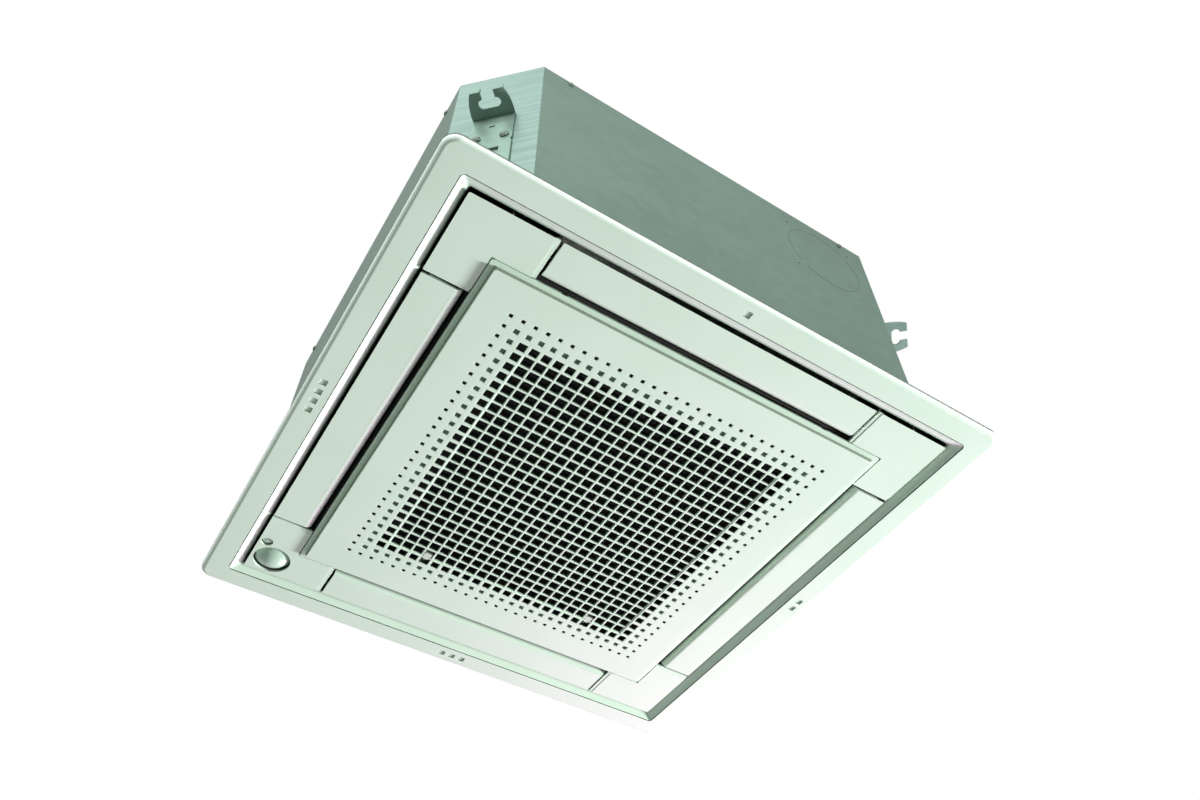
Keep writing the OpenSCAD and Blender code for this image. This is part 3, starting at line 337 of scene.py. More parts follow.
def moulded(name, low, high, rough, painted_light=(), grain_mm=0.35, depth_mm=0.01):
    """Injection-moulded plastic: an even colour with a faint cloud, and the mould's spark-eroded grain.

    painted_light is a list of (z0, z1, h0, h1, colour), in millimetres: inside the square ring from half side
    h0 to h1, the colour runs to another one from height z0 to z1, and dulls. This paints shade in where light
    does not reach, and paints a highlight where the colour is lighter.
    """
    m, t = start(name)
    cloud = add(t, "ShaderNodeTexNoise", Vector=in_mm(t, 90), Scale=1.0, Detail=2.0)
    tone = two_tone(t, cloud, (0.35, 0.65), low, high)
    dull = 0.0
    if painted_light:
        at = add(t, "ShaderNodeSeparateXYZ", Vector=in_mm(t, 1))
        x, y = (add(t, "ShaderNodeMath", {"operation": "ABSOLUTE"}, _0=at.outputs[i]) for i in (0, 1))
        out = add(t, "ShaderNodeMath", {"operation": "MAXIMUM"}, _0=x, _1=y)
    for z0, z1, h0, h1, colour in painted_light:
        height = add(t, "ShaderNodeMapRange", _0=at.outputs[2], _1=z0, _2=z1)
        ring = add(t, "ShaderNodeMath", {"operation": "COMPARE"}, _0=out, _1=(h0 + h1) / 2, _2=(h1 - h0) / 2)
        share = add(t, "ShaderNodeMath", {"operation": "MULTIPLY"}, _0=height, _1=ring)
        tone = add(t, "ShaderNodeMix", {"data_type": "RGBA"}, _0=share, _6=tone, _7=linear(colour)).outputs[2]
        dull = add(t, "ShaderNodeMath", {"operation": "MAXIMUM"}, _0=dull, _1=share)
    grain = add(t, "ShaderNodeTexNoise", Vector=in_mm(t, grain_mm), Scale=1.0, Detail=2.0)
    gloss = add(t, "ShaderNodeMapRange", _0=grain, _3=rough - 0.04, _4=rough + 0.06)
    gloss = add(t, "ShaderNodeMath", {"operation": "MULTIPLY_ADD", "use_clamp": True},
                _0=dull, _1=0.5, _2=gloss)
    coat(t, Base_Color=tone, Roughness=gloss,
         Normal=add(t, "ShaderNodeBump", Distance=depth_mm / 1000, Height=grain))
    return m


# Moulded ABS and polystyrene, each even and half matt in its own colour.
dress(moulded("grey_abs", "#B9BDB9", "#C4C8C4", 0.5), "drain_pipe", "drain_pump", "float_stem", "flap_bushes")
dress(moulded("blue_abs", "#35608C", "#3E6FA0", 0.45), "pump_impeller")
dress(moulded("bell_mouth_ps", "#C4CBC4", "#D2D8D2", 0.5), "bell_mouth")

# Glass-filled plastic: pale, with a duller skin than the rest.
dress(moulded("glass_filled_fan", "#BFC6C0", "#CDD3CE", 0.55), "turbo_fan")

# Black moulding behind the panel's face: it shows as dark as the gap round it.
dress(moulded("black_moulding", "#202423", "#2A2F2D", 0.55), "sensor_housing", "filter_frame", "filter_net")

# Baked enamel on the motor's pressed can: smooth, with a slight orange-peel surface.
dress(plain("motor_enamel", "#7A8083", "#82888B", 0.4, 0.3, 1.2, 0.012), "fan_motor")
dress(plated_steel, "motor_shaft", "fan_nut")

# The solder mask of the circuit board: a smooth green varnish.
dress(moulded("circuit_board", "#1F5A3B", "#2F6B46", 0.4), "control_board")
dress(bright_zinc, "control_box", "control_lid")


# Panel. One white ABS moulding, screwed to the unit: a flat border with one to four square marks
# on its sides, a thin groove and a bevel at its inner edge, a rim turned up to the ceiling, and
# four outlet ducts with lugs for the grille's pins. From here on, sizes are in millimetres.

# A name ends in H for half the side of a square, U for a place along a side, Z for a height,
# R for a radius; side 1 is at -Y, and sides 2 to 4 follow anticlockwise, seen from above.
HALF = round(cad_box[1][0] * 1000, 2)
BORDER_Z = 2.0
BORDER_BACK = 5.0
EDGE_R = 5.0
RIM_Z = 10.0
GROOVE_H = 284.0
GROOVE_Z = 3.0
SLOT_H = 277.5
LIP_H = 270.6
LIP_Z = (13, 22)
SHELF_Z = 30
WALL = 2.5
WALL_TOP = 45.0
PART_H = 223.4
DUCT_Z = 10.5
END_U = 181.5
END_Z = 8.7
PIVOT_U, PIVOT_Z = 237.0, 13.5
BUSH_R = 4.6
BOSS_AT = ((212, -264), (264, -212))
BOSS_R, BOSS_BORE, BOSS_LONG = 6.0, 2.6, 20.0
LUG_X, LUG_T, LUG_TOP = 150, 5.0, 18.4
HINGE_Y, HINGE_Z = -221.5, 6.4
EYE_R, EYE_BORE = 1.6, 1.05
PITCH = 13.0
MARK = 3.6
MARK_U = HALF - 14.8

# Half side against corner radius, from the panel's mouth out to its edge.
CORNER_H = (277.5, 280, 283.5, GROOVE_H, 305, HALF)
CORNER_R = (2.5, 3.5, 4.3, 4.8, 9, 14)


def shell(points, faces):
    """Turns a closed surface outward: its signed volume, the sum of p0 . (p1 x p2) / 6, is made positive."""
    p = np.asarray(points, float)
    tri = np.array([(f[0], f[i], f[i + 1]) for f in faces for i in range(1, len(f) - 1)])
    volume = np.einsum("ij,ij->i", p[tri[:, 0]], np.cross(p[tri[:, 1]], p[tri[:, 2]])).sum()
    return p, [f[::-1] for f in faces] if volume < 0 else faces


def loft(rings, closed=False):
    """Quads from each outline to the next; the last meets the first if closed, else both ends are capped."""
    p, m = rings.shape[:2]
    i, j = np.arange(p if closed else p - 1)[:, None], np.arange(m)[None, :]
    i1, j1 = (i + 1) % p, (j + 1) % m
    faces = np.stack([i * m + j, i * m + j1, i1 * m + j1, i1 * m + j], -1).reshape(-1, 4).tolist()
    if closed:
        return rings.reshape(-1, 3), faces
    caps = [list(range(m)), list(range(p * m - 1, (p - 1) * m - 1, -1))]
    return shell(rings.reshape(-1, 3), faces + caps)


def moved(part, rows=np.eye(3), at=(0, 0, 0)):
    """The part with its points taken as rows . p + at; a mirroring turns the faces back outward."""
    rows = np.array(rows, float)
    points, faces = part
    return points @ rows.T + at, [f[::-1] for f in faces] if np.linalg.det(rows) < 0 else faces


def to_side(part, k):
    """Turns what is drawn for side 1 to side k, by quarter turns about the centre."""
    c, s = ((1, 0), (0, 1), (-1, 0), (0, -1))[k - 1]
    return moved(part, [(c, -s, 0), (s, c, 0), (0, 0, 1)])


def fillet(corners, steps=4):
    """Rounds an outline: each corner (u, v, t) becomes a quadratic curve that starts and ends t from it."""
    c = np.array(corners, float)
    p, t = c[:, :2], c[:, 2:]
    back, on = np.roll(p, 1, 0) - p, np.roll(p, -1, 0) - p
    a = p + back / np.linalg.norm(back, axis=1, keepdims=True) * t
    b = p + on / np.linalg.norm(on, axis=1, keepdims=True) * t
    s = np.linspace(0, 1, steps + 1)[None, :, None]
    curve = (1 - s) ** 2 * a[:, None] + 2 * s * (1 - s) * p[:, None] + s ** 2 * b[:, None]
    return np.concatenate([q if r > 0 else q[:1] for q, r in zip(curve, c[:, 2])])


def circle(u, v, r, n=40):
    """Outline of radius r about (u, v): n points (u + r cos t, v + r sin t), evenly turned on."""
    t = np.arange(n) * 2 * np.pi / n
    return np.column_stack([u + r * np.cos(t), v + r * np.sin(t)])


def rounded_rect(a, b, r, n=6):
    """Outline of a 2a by 2b rectangle with a quarter circle of radius r at each corner, anticlockwise."""
    t = (np.arange(4)[:, None] * 90 + np.linspace(0, 90, n + 1)[None, :]) * np.pi / 180
    centre = np.array([(a - r, b - r), (r - a, b - r), (r - a, r - b), (a - r, r - b)])
    return (centre[:, None] + r * np.stack([np.cos(t), np.sin(t)], -1)).reshape(-1, 2)


def at_height(outline, z):
    """The outline's points with z as their third coordinate."""
    return np.column_stack([outline, np.full(len(outline), z)])


def round_square(section, radius, n):
    """One outline for each (half side, height) of a section: a square with corners of the matching radius."""
    return np.array([at_height(rounded_rect(h, h, r, n), z) for (h, z), r in zip(section, radius)])


def box(x0, x1, y0, y1, z0, z1, c=0.3):
    """Block with edges rounded to c: outlines stacked up it, the first and last drawn in by c."""
    a, b = (x1 - x0) / 2, (y1 - y0) / 2
    steps = [(c, 0), (0.3 * c, 0.3 * c), (0, c)] if c else [(0, 0)]
    levels = [(d, z0 + e) for d, e in steps] + [(d, z1 - e) for d, e in steps[::-1]]
    rings = [at_height(rounded_rect(a - d, b - d, max(c - d, 0.02), 2), z) for d, z in levels]
    return moved(loft(np.array(rings)), at=((x0 + x1) / 2, (y0 + y1) / 2, 0))


def wound(loop, sign):
    """The outline run anticlockwise for sign 1, clockwise for -1, by the sign of its area."""
    loop = np.asarray(loop, float)
    x, y = loop.T
    return loop if sign * (x @ np.roll(y, -1) - y @ np.roll(x, -1)) > 0 else loop[::-1]


def slab(outline, z0, z1, holes=(), top=None):
    """Closed plate from z0 to z1 with holes cut through; top is the outline at z1 where that one differs."""
    low = [wound(outline, 1)] + [wound(h, -1) for h in holes]
    high = [wound(outline if top is None else top, 1)] + low[1:]
    n = sum(map(len, low))
    points = np.concatenate([at_height(q, z0) for q in low] + [at_height(q, z1) for q in high])
    caps = [list(range(n))]
    if holes:
        caps = [list(t) for t in tessellate_polygon([[Vector(p) for p in at_height(q, 0)] for q in low])]
        a, b, c = points[np.array(caps).T, :2]
        caps = [t if turn > 0 else t[::-1] for t, turn in zip(caps, np.cross(b - a, c - a))]
    faces = [t[::-1] for t in caps] + [[n + i for i in t] for t in caps]
    first = 0
    for q in low:
        i = first + np.arange(len(q))
        j = np.roll(i, -1)
        faces += np.stack([i, j, j + n, i + n], -1).tolist()
        first += len(q)
    return points, faces


SECTION = [(0, 0, 1), (-1, 0, 0), (0, 1, 0)]


def along_side(section, x0, x1, holes=()):
    """Extrudes a section, drawn as distance outward and height, along side 1 from x0 to x1."""
    return moved(slab(section, x0, x1, holes), SECTION)


def holed_tiles(front, back, centre, half, steps, z_back=None, floor=False, n=2):
    """Rectangular tiles, each with a square hole or pit, seen from below.

    front and back are (tiles, 4) arrays of x0, x1, y0, y1; steps are (grow, z, radius) down into the hole:
    its outline is the square of side 2 (half + grow) with corners rounded to radius. The first step lies in
    the tile's face. The hole ends in a floor, or else at the back face at z_back.
    """
    front, centre = np.asarray(front, float), np.asarray(centre, float)
    t, m, s = len(front), 4 * (n + 1), len(steps)
    rings = np.array([at_height(rounded_rect(half + g, half + g, r, n), z) for g, z, r in steps])
    rings = rings[None] + np.column_stack([centre, np.zeros(t)])[:, None, None]

    def corners(rect, z):
        """The four corners of each tile, anticlockwise from +x +y."""
        x0, x1, y0, y1 = rect.T
        flat = np.stack([np.stack(pair, -1) for pair in ((x1, y1), (x0, y1), (x0, y0), (x1, y0))], 1)
        return np.concatenate([flat, np.full((t, 4, 1), z)], -1)

    blocks = [corners(front, steps[0][1]), rings.reshape(t, -1, 3)]
    if z_back is not None:
        blocks.append(corners(np.asarray(back, float), z_back))
    points = np.concatenate(blocks, 1)
    ring = 4 + np.arange(s * m).reshape(s, 4, n + 1)
    rear = 4 + s * m
    faces = []
    for k in range(4):
        q = (k + 1) % 4
        faces += [[k, ring[0, k, i], ring[0, k, i + 1]] for i in range(n)]
        faces.append([k, ring[0, k, n], ring[0, q, 0], q])
        if z_back is not None and not floor:
            faces += [[rear + k, ring[-1, k, i + 1], ring[-1, k, i]] for i in range(n)]
            faces.append([rear + q, ring[-1, q, 0], ring[-1, k, n], rear + k])
    flat = ring.reshape(s, m)
    on = np.roll(flat, -1, 1)
    faces += np.stack([flat[:-1], flat[1:], on[1:], on[:-1]], -1).reshape(-1, 4).tolist()
    if floor:
        faces.append(flat[-1][::-1].tolist())
        if z_back is not None:
            faces.append([rear + k for k in range(4)])
    size = points.shape[1]
    every = [[int(v) + b for v in f] for b in range(0, t * size, size) for f in faces]
    return points.reshape(-1, 3), every


def border_parts():
    """A section, drawn as half side and height, carried round the square; the marks are pits in its face."""
    t = np.linspace(-90, 0, 9)[:, None] * np.pi / 180
    edge = np.array([(HALF - EDGE_R, BORDER_Z + EDGE_R)]) + EDGE_R * np.hstack([np.cos(t), np.sin(t)])
    rim = [(HALF, RIM_Z, 0.4), (HALF - 3, RIM_Z, 0.3), (HALF - 3.2, 6.6, 0.5), (HALF - 5, BORDER_BACK, 0.8)]
    wall = [(GROOVE_H - 0.5, BORDER_BACK, 1.5), (SLOT_H + WALL, 9.5, 1.5), (SLOT_H + WALL, WALL_TOP, 0.3),
            (SLOT_H, WALL_TOP, 0.3), (SLOT_H, SHELF_Z, 2)]
    lip = [(LIP_H, LIP_Z[1], 1.5), (LIP_H, LIP_Z[0], 2), (273.6, 7.4, 2), (279.3, 5, 2.6)]
    groove = [(GROOVE_H - 0.85, 2.45, 0.15), (GROOVE_H - 0.8, GROOVE_Z, 0.05),
              (GROOVE_H - 0.1, GROOVE_Z, 0.05), (GROOVE_H - 0.05, 2.1, 0.08)]
    section = np.concatenate([[(GROOVE_H, BORDER_Z)], edge, fillet(rim + wall + lip + groove)])
    radius = np.interp(section[:, 0], CORNER_H, CORNER_R)
    n = 10
    points, faces = loft(round_square(section, radius, n), closed=True)
    m = 4 * (n + 1)
    # The face's four straight strips, the loft's first long quads, make room for the marks' tiles.
    straight = {n + k * (n + 1) for k in range(4)}
    parts = [(points, [f for i, f in enumerate(faces) if i >= m or i not in straight])]
    inner, outer = (GROOVE_H, GROOVE_H - radius[0]), (section[1, 0], section[1, 0] - radius[1])
    steps = [(0.35, BORDER_Z, 1.0), (0.08, BORDER_Z + 0.08, 0.8), (0, BORDER_Z + 0.3, 0.7),
             (-0.12, BORDER_Z + 1.05, 0.6), (-0.35, BORDER_Z + 1.2, 0.5)]
    for k in range(1, 5):
        u = (np.arange(k) - (k - 1) / 2) * PITCH
        tiles = np.column_stack([u - PITCH / 2, u + PITCH / 2, np.full(k, -outer[0]), np.full(k, -inner[0])])
        centre = np.column_stack([u, np.full(k, -MARK_U)])
        pits = holed_tiles(tiles, None, centre, MARK, steps, floor=True, n=3)
        w = k * PITCH / 2
        left = np.array([(-w, -inner[0]), (-w, -outer[0]), (-outer[1], -outer[0]), (-inner[1], -inner[0])])
        flats = [(at_height(left, BORDER_Z), [[0, 1, 2, 3]]),
                 (at_height(left * (-1, 1), BORDER_Z), [[3, 2, 1, 0]])]
        parts += [to_side(p, k) for p in (pits, *flats)]
    return parts


def duct_parts():
    """Walls behind the border: the inner wall all round, two end walls to each outlet, and screw bosses."""
    h, o = PART_H, PART_H + WALL
    wall = fillet([(h, DUCT_Z, 0.4), (h, WALL_TOP, 0.3), (o, WALL_TOP, 0.3), (o, DUCT_Z, 0.4)], 2)[::-1]
    parts = [loft(round_square(wall, 0.6 + wall[:, 0] - h, 3), closed=True)]
    bush = circle(PIVOT_U, PIVOT_Z, BUSH_R)
    end = fillet([(h + 0.8, END_Z, 0.2), (SLOT_H, END_Z, 0.3), (SLOT_H, WALL_TOP, 0.3),
                  (h + 0.8, WALL_TOP, 0.3)], 2)
    for k in range(1, 5):
        side = [along_side(end, END_U, END_U + WALL, [bush]), along_side(end, -END_U - WALL, -END_U, [bush])]
        side.append(box(END_U, SLOT_H, -SLOT_H, -h + 0.2, WALL_TOP - WALL, WALL_TOP))
        side.append(box(h - 0.2, SLOT_H, -h - 0.3, -END_U, WALL_TOP - WALL, WALL_TOP))
        for x, y in BOSS_AT:
            ring = slab(circle(0, 0, BOSS_R), WALL_TOP - BOSS_LONG, WALL_TOP, [circle(0, 0, BOSS_BORE)])
            side.append(moved(ring, at=(x, y, 0)))
        parts += [to_side(p, k) for p in side]
    return parts


def lug_parts():
    """Two lugs on the inner wall of side 1 that carry the grille's pins: a plate that ends in a round eye."""
    hole = circle(-HINGE_Y, HINGE_Z, EYE_BORE, 24)
    t = np.linspace(14, -240, 24) * np.pi / 180
    eye = np.column_stack([-HINGE_Y + EYE_R * np.cos(t), HINGE_Z + EYE_R * np.sin(t)])
    outer, inner = PART_H + 0.5, PART_H - 0.35
    outline = np.concatenate([[(outer, LUG_TOP), (outer, DUCT_Z), (inner, DUCT_Z)], eye, [(220.7, LUG_TOP)]])
    return [along_side(outline, x - LUG_T / 2, x + LUG_T / 2, [hole]) for x in (-LUG_X, LUG_X)]


CREASE = math.radians(38)


def piece(name, parts, material, body, nodes, edge=0.0):
    """Joins parts into one mesh in metres, merging points that meet.

    Faces that meet under CREASE degrees shade smooth, and a bevel edge millimetres wide rounds the rest.
    """
    count = np.cumsum([0] + [len(p) for p, _ in parts])
    points = np.concatenate([p for p, _ in parts])
    keep, index = np.unique(np.round(points, 4), axis=0, return_inverse=True)
    index = index.ravel()
    faces = []
    for (_, own), first in zip(parts, count):
        for f in own:
            g = index[np.array(f) + first].tolist()
            g = [v for v, w in zip(g, g[1:] + g[:1]) if v != w]
            if len(g) > 2:
                faces.append(g)
    mesh = bpy.data.meshes.new(name)
    mesh.from_pydata((keep / 1000).tolist(), [], faces)
    mesh.shade_smooth()
    mesh.set_sharp_from_angle(angle=CREASE)
    mesh.materials.append(material)
    o = bpy.data.objects.new(name, mesh)
    bpy.context.scene.collection.objects.link(o)
    if edge:
        bevel = o.modifiers.new("edges", "BEVEL")
        bevel.width = edge / 1000
        bevel.segments = 2
        bevel.limit_method = "ANGLE"
        bevel.angle_limit = CREASE
    o.modifiers.new("normals", "WEIGHTED_NORMAL").keep_sharp = not edge
    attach(o, body)
    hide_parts(*nodes)


# Moulded ABS, white with a green cast from the room: soft gloss and a fine spark-eroded grain.
WHITE = ("#D6EDDA", "#DAEFDE", 0.42)

# The border, with painted shade: black in the outlets and the groove, grey on the marks' walls, their
# floors white again, and grey on the rim's back; and a painted highlight, whiter, where the outer edge
# turns up to the light.
# Near black, painted as shade in the outlets, the groove and behind the faces.
PAINTED_SHADE = "#0A0C0B"
MARKS = (289, 301)
EDGE = (304, 312)
border_abs_painted_shade = moulded("white_abs_border", *WHITE, [
    (6, 10, 0, 279, PAINTED_SHADE),
    (2.1, 2.3, GROOVE_H - 1, GROOVE_H, PAINTED_SHADE),
    (2.3, 2.5, *MARKS, "#5E695F"),
    (3.0, 3.1, *MARKS, "#CDE5D2"),
    (2.1, 3.5, *EDGE, "#EAF3ED"),
    (6.4, 7.4, *EDGE, "#6E786F")])
piece("panel", border_parts(), border_abs_painted_shade, "unit", ["panel_frame"])

# The ducts, with painted shade: black above the face.
duct_abs = moulded("ducts_painted_shade", *WHITE, [(5, 8.5, 0, HALF, PAINTED_SHADE)])
piece("panel_ducts", duct_parts() + lug_parts(), duct_abs, "unit", ["panel_frame"])
dress(plated_steel, "panel_screws")


# Corner covers. White L-shaped ABS plates clipped between the flaps: the edges towards the flaps
# slope back, with a sunk lip behind each and snap posts. The one at -X +Y has two round holes.

BAND_H = 271.0
BAND_Z = 4.0
GRILLE_H = 224.0
COVER_U = 185.8
DOME_AT = (247.0, 247.0)
DOME_HOLE_R = 20.3
LENS_AT = (221.8, 261.5)
LENS_HOLE_R = 6.3
POST_TOP = WALL_TOP - WALL - 0.2
SWAP_XY = [(0, 1, 0), (1, 0, 0), (0, 0, 1)]


def cover_outline(u, h):
    """An L with its arms u long and its outer corner at h."""
    g = GRILLE_H + 1
    return fillet([(g, g, 0.5), (g, u, 0.5), (h, u, 0.5), (h, h, 2), (u, h, 0.5), (u, g, 0.5)], 3)


def cover_parts(posts, holes=()):
    """An L-shaped plate that narrows towards its back, with a stiffener and a lip on each arm.

    posts names the arms, 0 or 1, that have a snap post; the second arm is the first with x and y swapped.
    """
    top = BAND_Z + WALL
    face, back = (cover_outline(COVER_U, BAND_H - cut) for cut in (0.5, 1.9))
    parts = [slab(face, BAND_Z, top, holes, back)]
    arm = END_U + 0.2
    for m in (0, 1):
        extra = [box(arm, arm + 12, GRILLE_H + 2.6, BAND_H - 1.6, top - 0.1, top + 1.5),
                 box(arm, COVER_U + 0.8, GRILLE_H + 1.2, BAND_H - 0.6, BAND_Z + 0.5, top + 0.5)]
        if m in posts:
            extra.append(box(GRILLE_H + 3.5, GRILLE_H + 5.5, BAND_H - 10, BAND_H - 1, top - 0.1, POST_TOP))
        parts += [moved(p, SWAP_XY) if m else p for p in extra]
    return parts


# The same white ABS, with painted shade: black up behind the face.
cover_abs = moulded("white_abs_covers", *WHITE, [(5.2, 7.5, 0, HALF, PAINTED_SHADE)])
sensor_holes = [circle(*DOME_AT, DOME_HOLE_R, 72), circle(*LENS_AT, LENS_HOLE_R)]
for name, k, posts, holes in (("12", 4, (0, 1), ()), ("23", 1, (0, 1), ()), ("41", 3, (0, 1), ()),
                              ("34", 2, (1,), sensor_holes)):
    piece(f"cover_{name}", [to_side(p, k) for p in cover_parts(posts, holes)], cover_abs, "unit",
          [f"corner_cover_{name}"], edge=0.4)


# Flaps. Each one is a thin white ABS skin: a nose rolled round its pivot, a flat face and an
# upturned outer lip, stiffened by webs, on a plain journal and a bored one that a steel shaft
# and a small geared motor turn.

FLAP_HALF = 178.5
NOSE_R = 9.5
FLAP_T = 2.5
LIP_TALL = 5.0
WEB_HUB_R = 6.5
JOURNAL_R = 3.0
TUBE_R, TUBE_BORE = 3.5, 2.02
ALONG_X = [(0, 0, 1), (1, 0, 0), (0, 1, 0)]


def rod_x(r, x0, x1, y, z, c=0.2, n=40):
    """Cylinder along X through (y, z) with its ends chamfered by c."""
    ends = ((r - c, x0), (r, x0 + c), (r, x1 - c), (r - c, x1))
    return moved(loft(np.array([at_height(circle(0, 0, q, n), x) for q, x in ends])), ALONG_X, (0, y, z))


def flap_parts():
    """One section carried along the flap for the skin, and another, a few millimetres long, for each web."""
    def arc(r, a0, a1, n):
        """n points round the pivot, turned from a0 to a1 degrees."""
        t = np.linspace(a0, a1, n) * np.pi / 180
        return [(PIVOT_U + r * math.cos(q), PIVOT_Z + r * math.sin(q), 0) for q in t]
    inner, lip, top = NOSE_R - FLAP_T, BAND_H - FLAP_T, BAND_Z + FLAP_T
    tip, tip_z = BAND_H - 0.6, BAND_Z + LIP_TALL
    face = [(tip, BAND_Z, 0.6), (tip - 2.6, tip_z, 0.6), (lip - 2.2, tip_z, 0.6), (lip - 1, top, 1.2)]
    skin = fillet(arc(NOSE_R, 170.9, 270, 15) + face + arc(inner, 270, 167.6, 13), 3)
    web = fillet([(PIVOT_U - 5, PIVOT_Z - 6.6, 0), (lip - 0.9, top - 0.3, 0), (lip - 1.9, tip_z - 0.5, 0.4),
                  (PIVOT_U + 8, PIVOT_Z + 3.5, 2), (PIVOT_U, PIVOT_Z + 6.4, 0)], 3)
    parts = [along_side(skin, -FLAP_HALF, FLAP_HALF)]
    end = FLAP_HALF - 1.35
    for x, t in ((-end, 1.25), (-100, 1), (0, 1), (100, 1), (end, 1.25)):
        parts += [along_side(web, x - t, x + t), rod_x(WEB_HUB_R, x - t, x + t, -PIVOT_U, PIVOT_Z)]
    parts.append(rod_x(JOURNAL_R, -END_U - WALL - 1.2, -FLAP_HALF + 1, -PIVOT_U, PIVOT_Z))
    tube = slab(circle(0, 0, TUBE_R), FLAP_HALF - 1, END_U + WALL + 0.3, [circle(0, 0, TUBE_BORE)])
    return parts + [moved(tube, ALONG_X, (0, -PIVOT_U, PIVOT_Z))]


# The same white ABS, with painted shade: black on the inside, round the nose and on the outer lip.
flap_abs = moulded("white_abs_flaps_painted_shade", *WHITE, [(5.5, 9, 0, 262, PAINTED_SHADE), (4.4, 6.2, 262, HALF, PAINTED_SHADE)])
for k in range(1, 5):
    piece(f"air_flap_{k}", [to_side(p, k) for p in flap_parts()], flap_abs, f"flap_{k}",
          [f"flap_{k}"], edge=0.35)
    dress(plated_steel, f"flap_shaft_{k}", f"flap_motor_{k}")


# Suction grille. One white ABS moulding that hangs on two steel pins: a ledge, a tray that stands
# below it, and in its face a ring of small holes, a ring of square dimples, a ring of square
# holes and 23 x 23 cells.

RING_N = 29
MESH_N = 23
CELL = 10.8
SMALL_HOLE, DIMPLE, SQUARE_HOLE = 1.9, 2.8, 4.45
CROWN_Z = 0.6
MESH_BACK = 8.8
SKIN = 2.5
FACE_H = 217.5
TRAY_H = 219.0
TRAY_BACK = 6.9
MESH_H = 150.6
LATCH_X = 104.0
RIM_N = (RING_N - MESH_N) // 2
FILTER_Z = 15.5
POST_X, CLIP_X = (-170, -50, 50, 170), (-176, 176)
BEARING_R, BEARING_BORE, BEARING_LONG, BEARING_OFF = 2.2, 1.0, 7.2, 7.0
GUIDE_Y, GUIDE_W, GUIDE_ROOF = (168, 204), 6.0, 12.1

# Half side against corner radius of the tray and the ledge.
TRAY_CORNER_H, TRAY_CORNER_R = (217, 218.6, 224), (2, 2, 3)


def grille_lines():
    """The lines between the tiles of a square lattice of 29 x 29, and the tiles' middles."""
    at = (np.arange(RING_N) - (RING_N - 1) / 2) * PITCH
    return at, np.append(at - PITCH / 2, at[-1] + PITCH / 2)


def grille_face():
    """The lattice of holed tiles: the outer three rings are the skin, the rest are the mesh's cells.

    The lines between skin and mesh are drawn to the mesh's edge, where a small step joins the two.
    """
    at, lines = grille_lines()

    def drawn(edge):
        """The lines with the two at the mesh's border moved to edge."""
        out = lines.copy()
        out[RIM_N], out[-1 - RIM_N] = -edge, edge
        return out

    def tiles(line, i, j):
        """Each tile's x0, x1, y0 and y1."""
        return np.column_stack([line[i], line[i + 1], line[j], line[j + 1]])

    def rounded(z, r=0.5):
        """The steps of a rounded mouth at z."""
        return [(0.4, z, r + 0.4), (0.12, z + 0.12, r + 0.15), (0, z + 0.4, r)]

    i, j = (q.ravel() for q in np.meshgrid(np.arange(RING_N), np.arange(RING_N), indexing="ij"))
    level = np.minimum(np.minimum(i, RING_N - 1 - i), np.minimum(j, RING_N - 1 - j))
    window = (np.abs(np.abs(at[i]) - LATCH_X) < 1) & (j >= RING_N - RIM_N - 1) & (j <= RING_N - RIM_N)
    centre = np.column_stack([at[i], at[j]])
    edge_in, edge_out, edge_back = drawn(MESH_H - 0.8), drawn(MESH_H - 0.5), drawn(MESH_H)
    kinds = [(0, SMALL_HOLE, rounded(0, 0.3) + [(0, SKIN, 0.4)], False),
             (1, DIMPLE, rounded(0, 0.4) + [(0, 1.75, 0.4), (-0.25, 2.0, 0.3)], True),
             (2, SQUARE_HOLE, rounded(0) + [(0, SKIN, 0.5)], False)]
    # Each kind of tile in the skin: its ring, half a hole's side, the hole's steps, and if it has a floor.
    parts = []
    for ring, half, steps, floor in kinds:
        q = (level == ring) & ~window
        parts.append(holed_tiles(tiles(edge_out, i[q], j[q]), tiles(edge_back, i[q], j[q]),
                                 centre[q], half, steps, SKIN, floor))
    q = (level >= RIM_N) & ~window
    steps = [(0.5, CROWN_Z, 0.9), (0.16, CROWN_Z + 0.14, 0.6), (0, CROWN_Z + 0.5, 0.4), (0, MESH_BACK, 0.4)]
    parts.append(holed_tiles(tiles(edge_in, i[q], j[q]), tiles(edge_back, i[q], j[q]),
                             centre[q], CELL / 2, steps, MESH_BACK))
    own = np.arange(RIM_N, RING_N + 1 - RIM_N)
    n = len(own)
    e = np.arange(n - 1)
    # Strips that join skin and mesh, in front and at the back.
    for line0, z0, line1, z1 in ((edge_in, CROWN_Z, edge_out, 0), (edge_back, MESH_BACK, edge_back, SKIN)):
        a = np.column_stack([line0[own], np.full(n, line0[RIM_N]), np.full(n, z0)])
        b = np.column_stack([line1[own], np.full(n, line1[RIM_N]), np.full(n, z1)])
        strip = np.stack([e, e + 1, e + n + 1, e + n], -1)
        step = np.concatenate([a, b]), (strip[:, ::-1] if z0 > z1 else strip).tolist()
        parts += [to_side(step, k) for k in range(1, 5)]
    return parts + window_parts(lines)


def window_parts(lines):
    """Round each latch's window of two tiles: side walls to the cells' size, a cross wall and a sill."""
    y0, y1, y2 = lines[-2 - RIM_N], MESH_H - 0.5, lines[-RIM_N]
    c, p = CELL / 2, PITCH / 2
    parts = []
    for x in (-LATCH_X, LATCH_X):
        for s in (-1, 1):
            xs = sorted((x + s * c, x + s * p))
            parts += [box(*xs, y0, y1 + 0.5, CROWN_Z, MESH_BACK, 0), box(*xs, y1, y2, 0, SKIN, 0)]
        parts += [box(x - c, x + c, y0, y0 + p - c, CROWN_Z, MESH_BACK, 0),
                  box(x - c, x + c, y2 - 2.05, y2, 0, SKIN, 0)]
    return parts


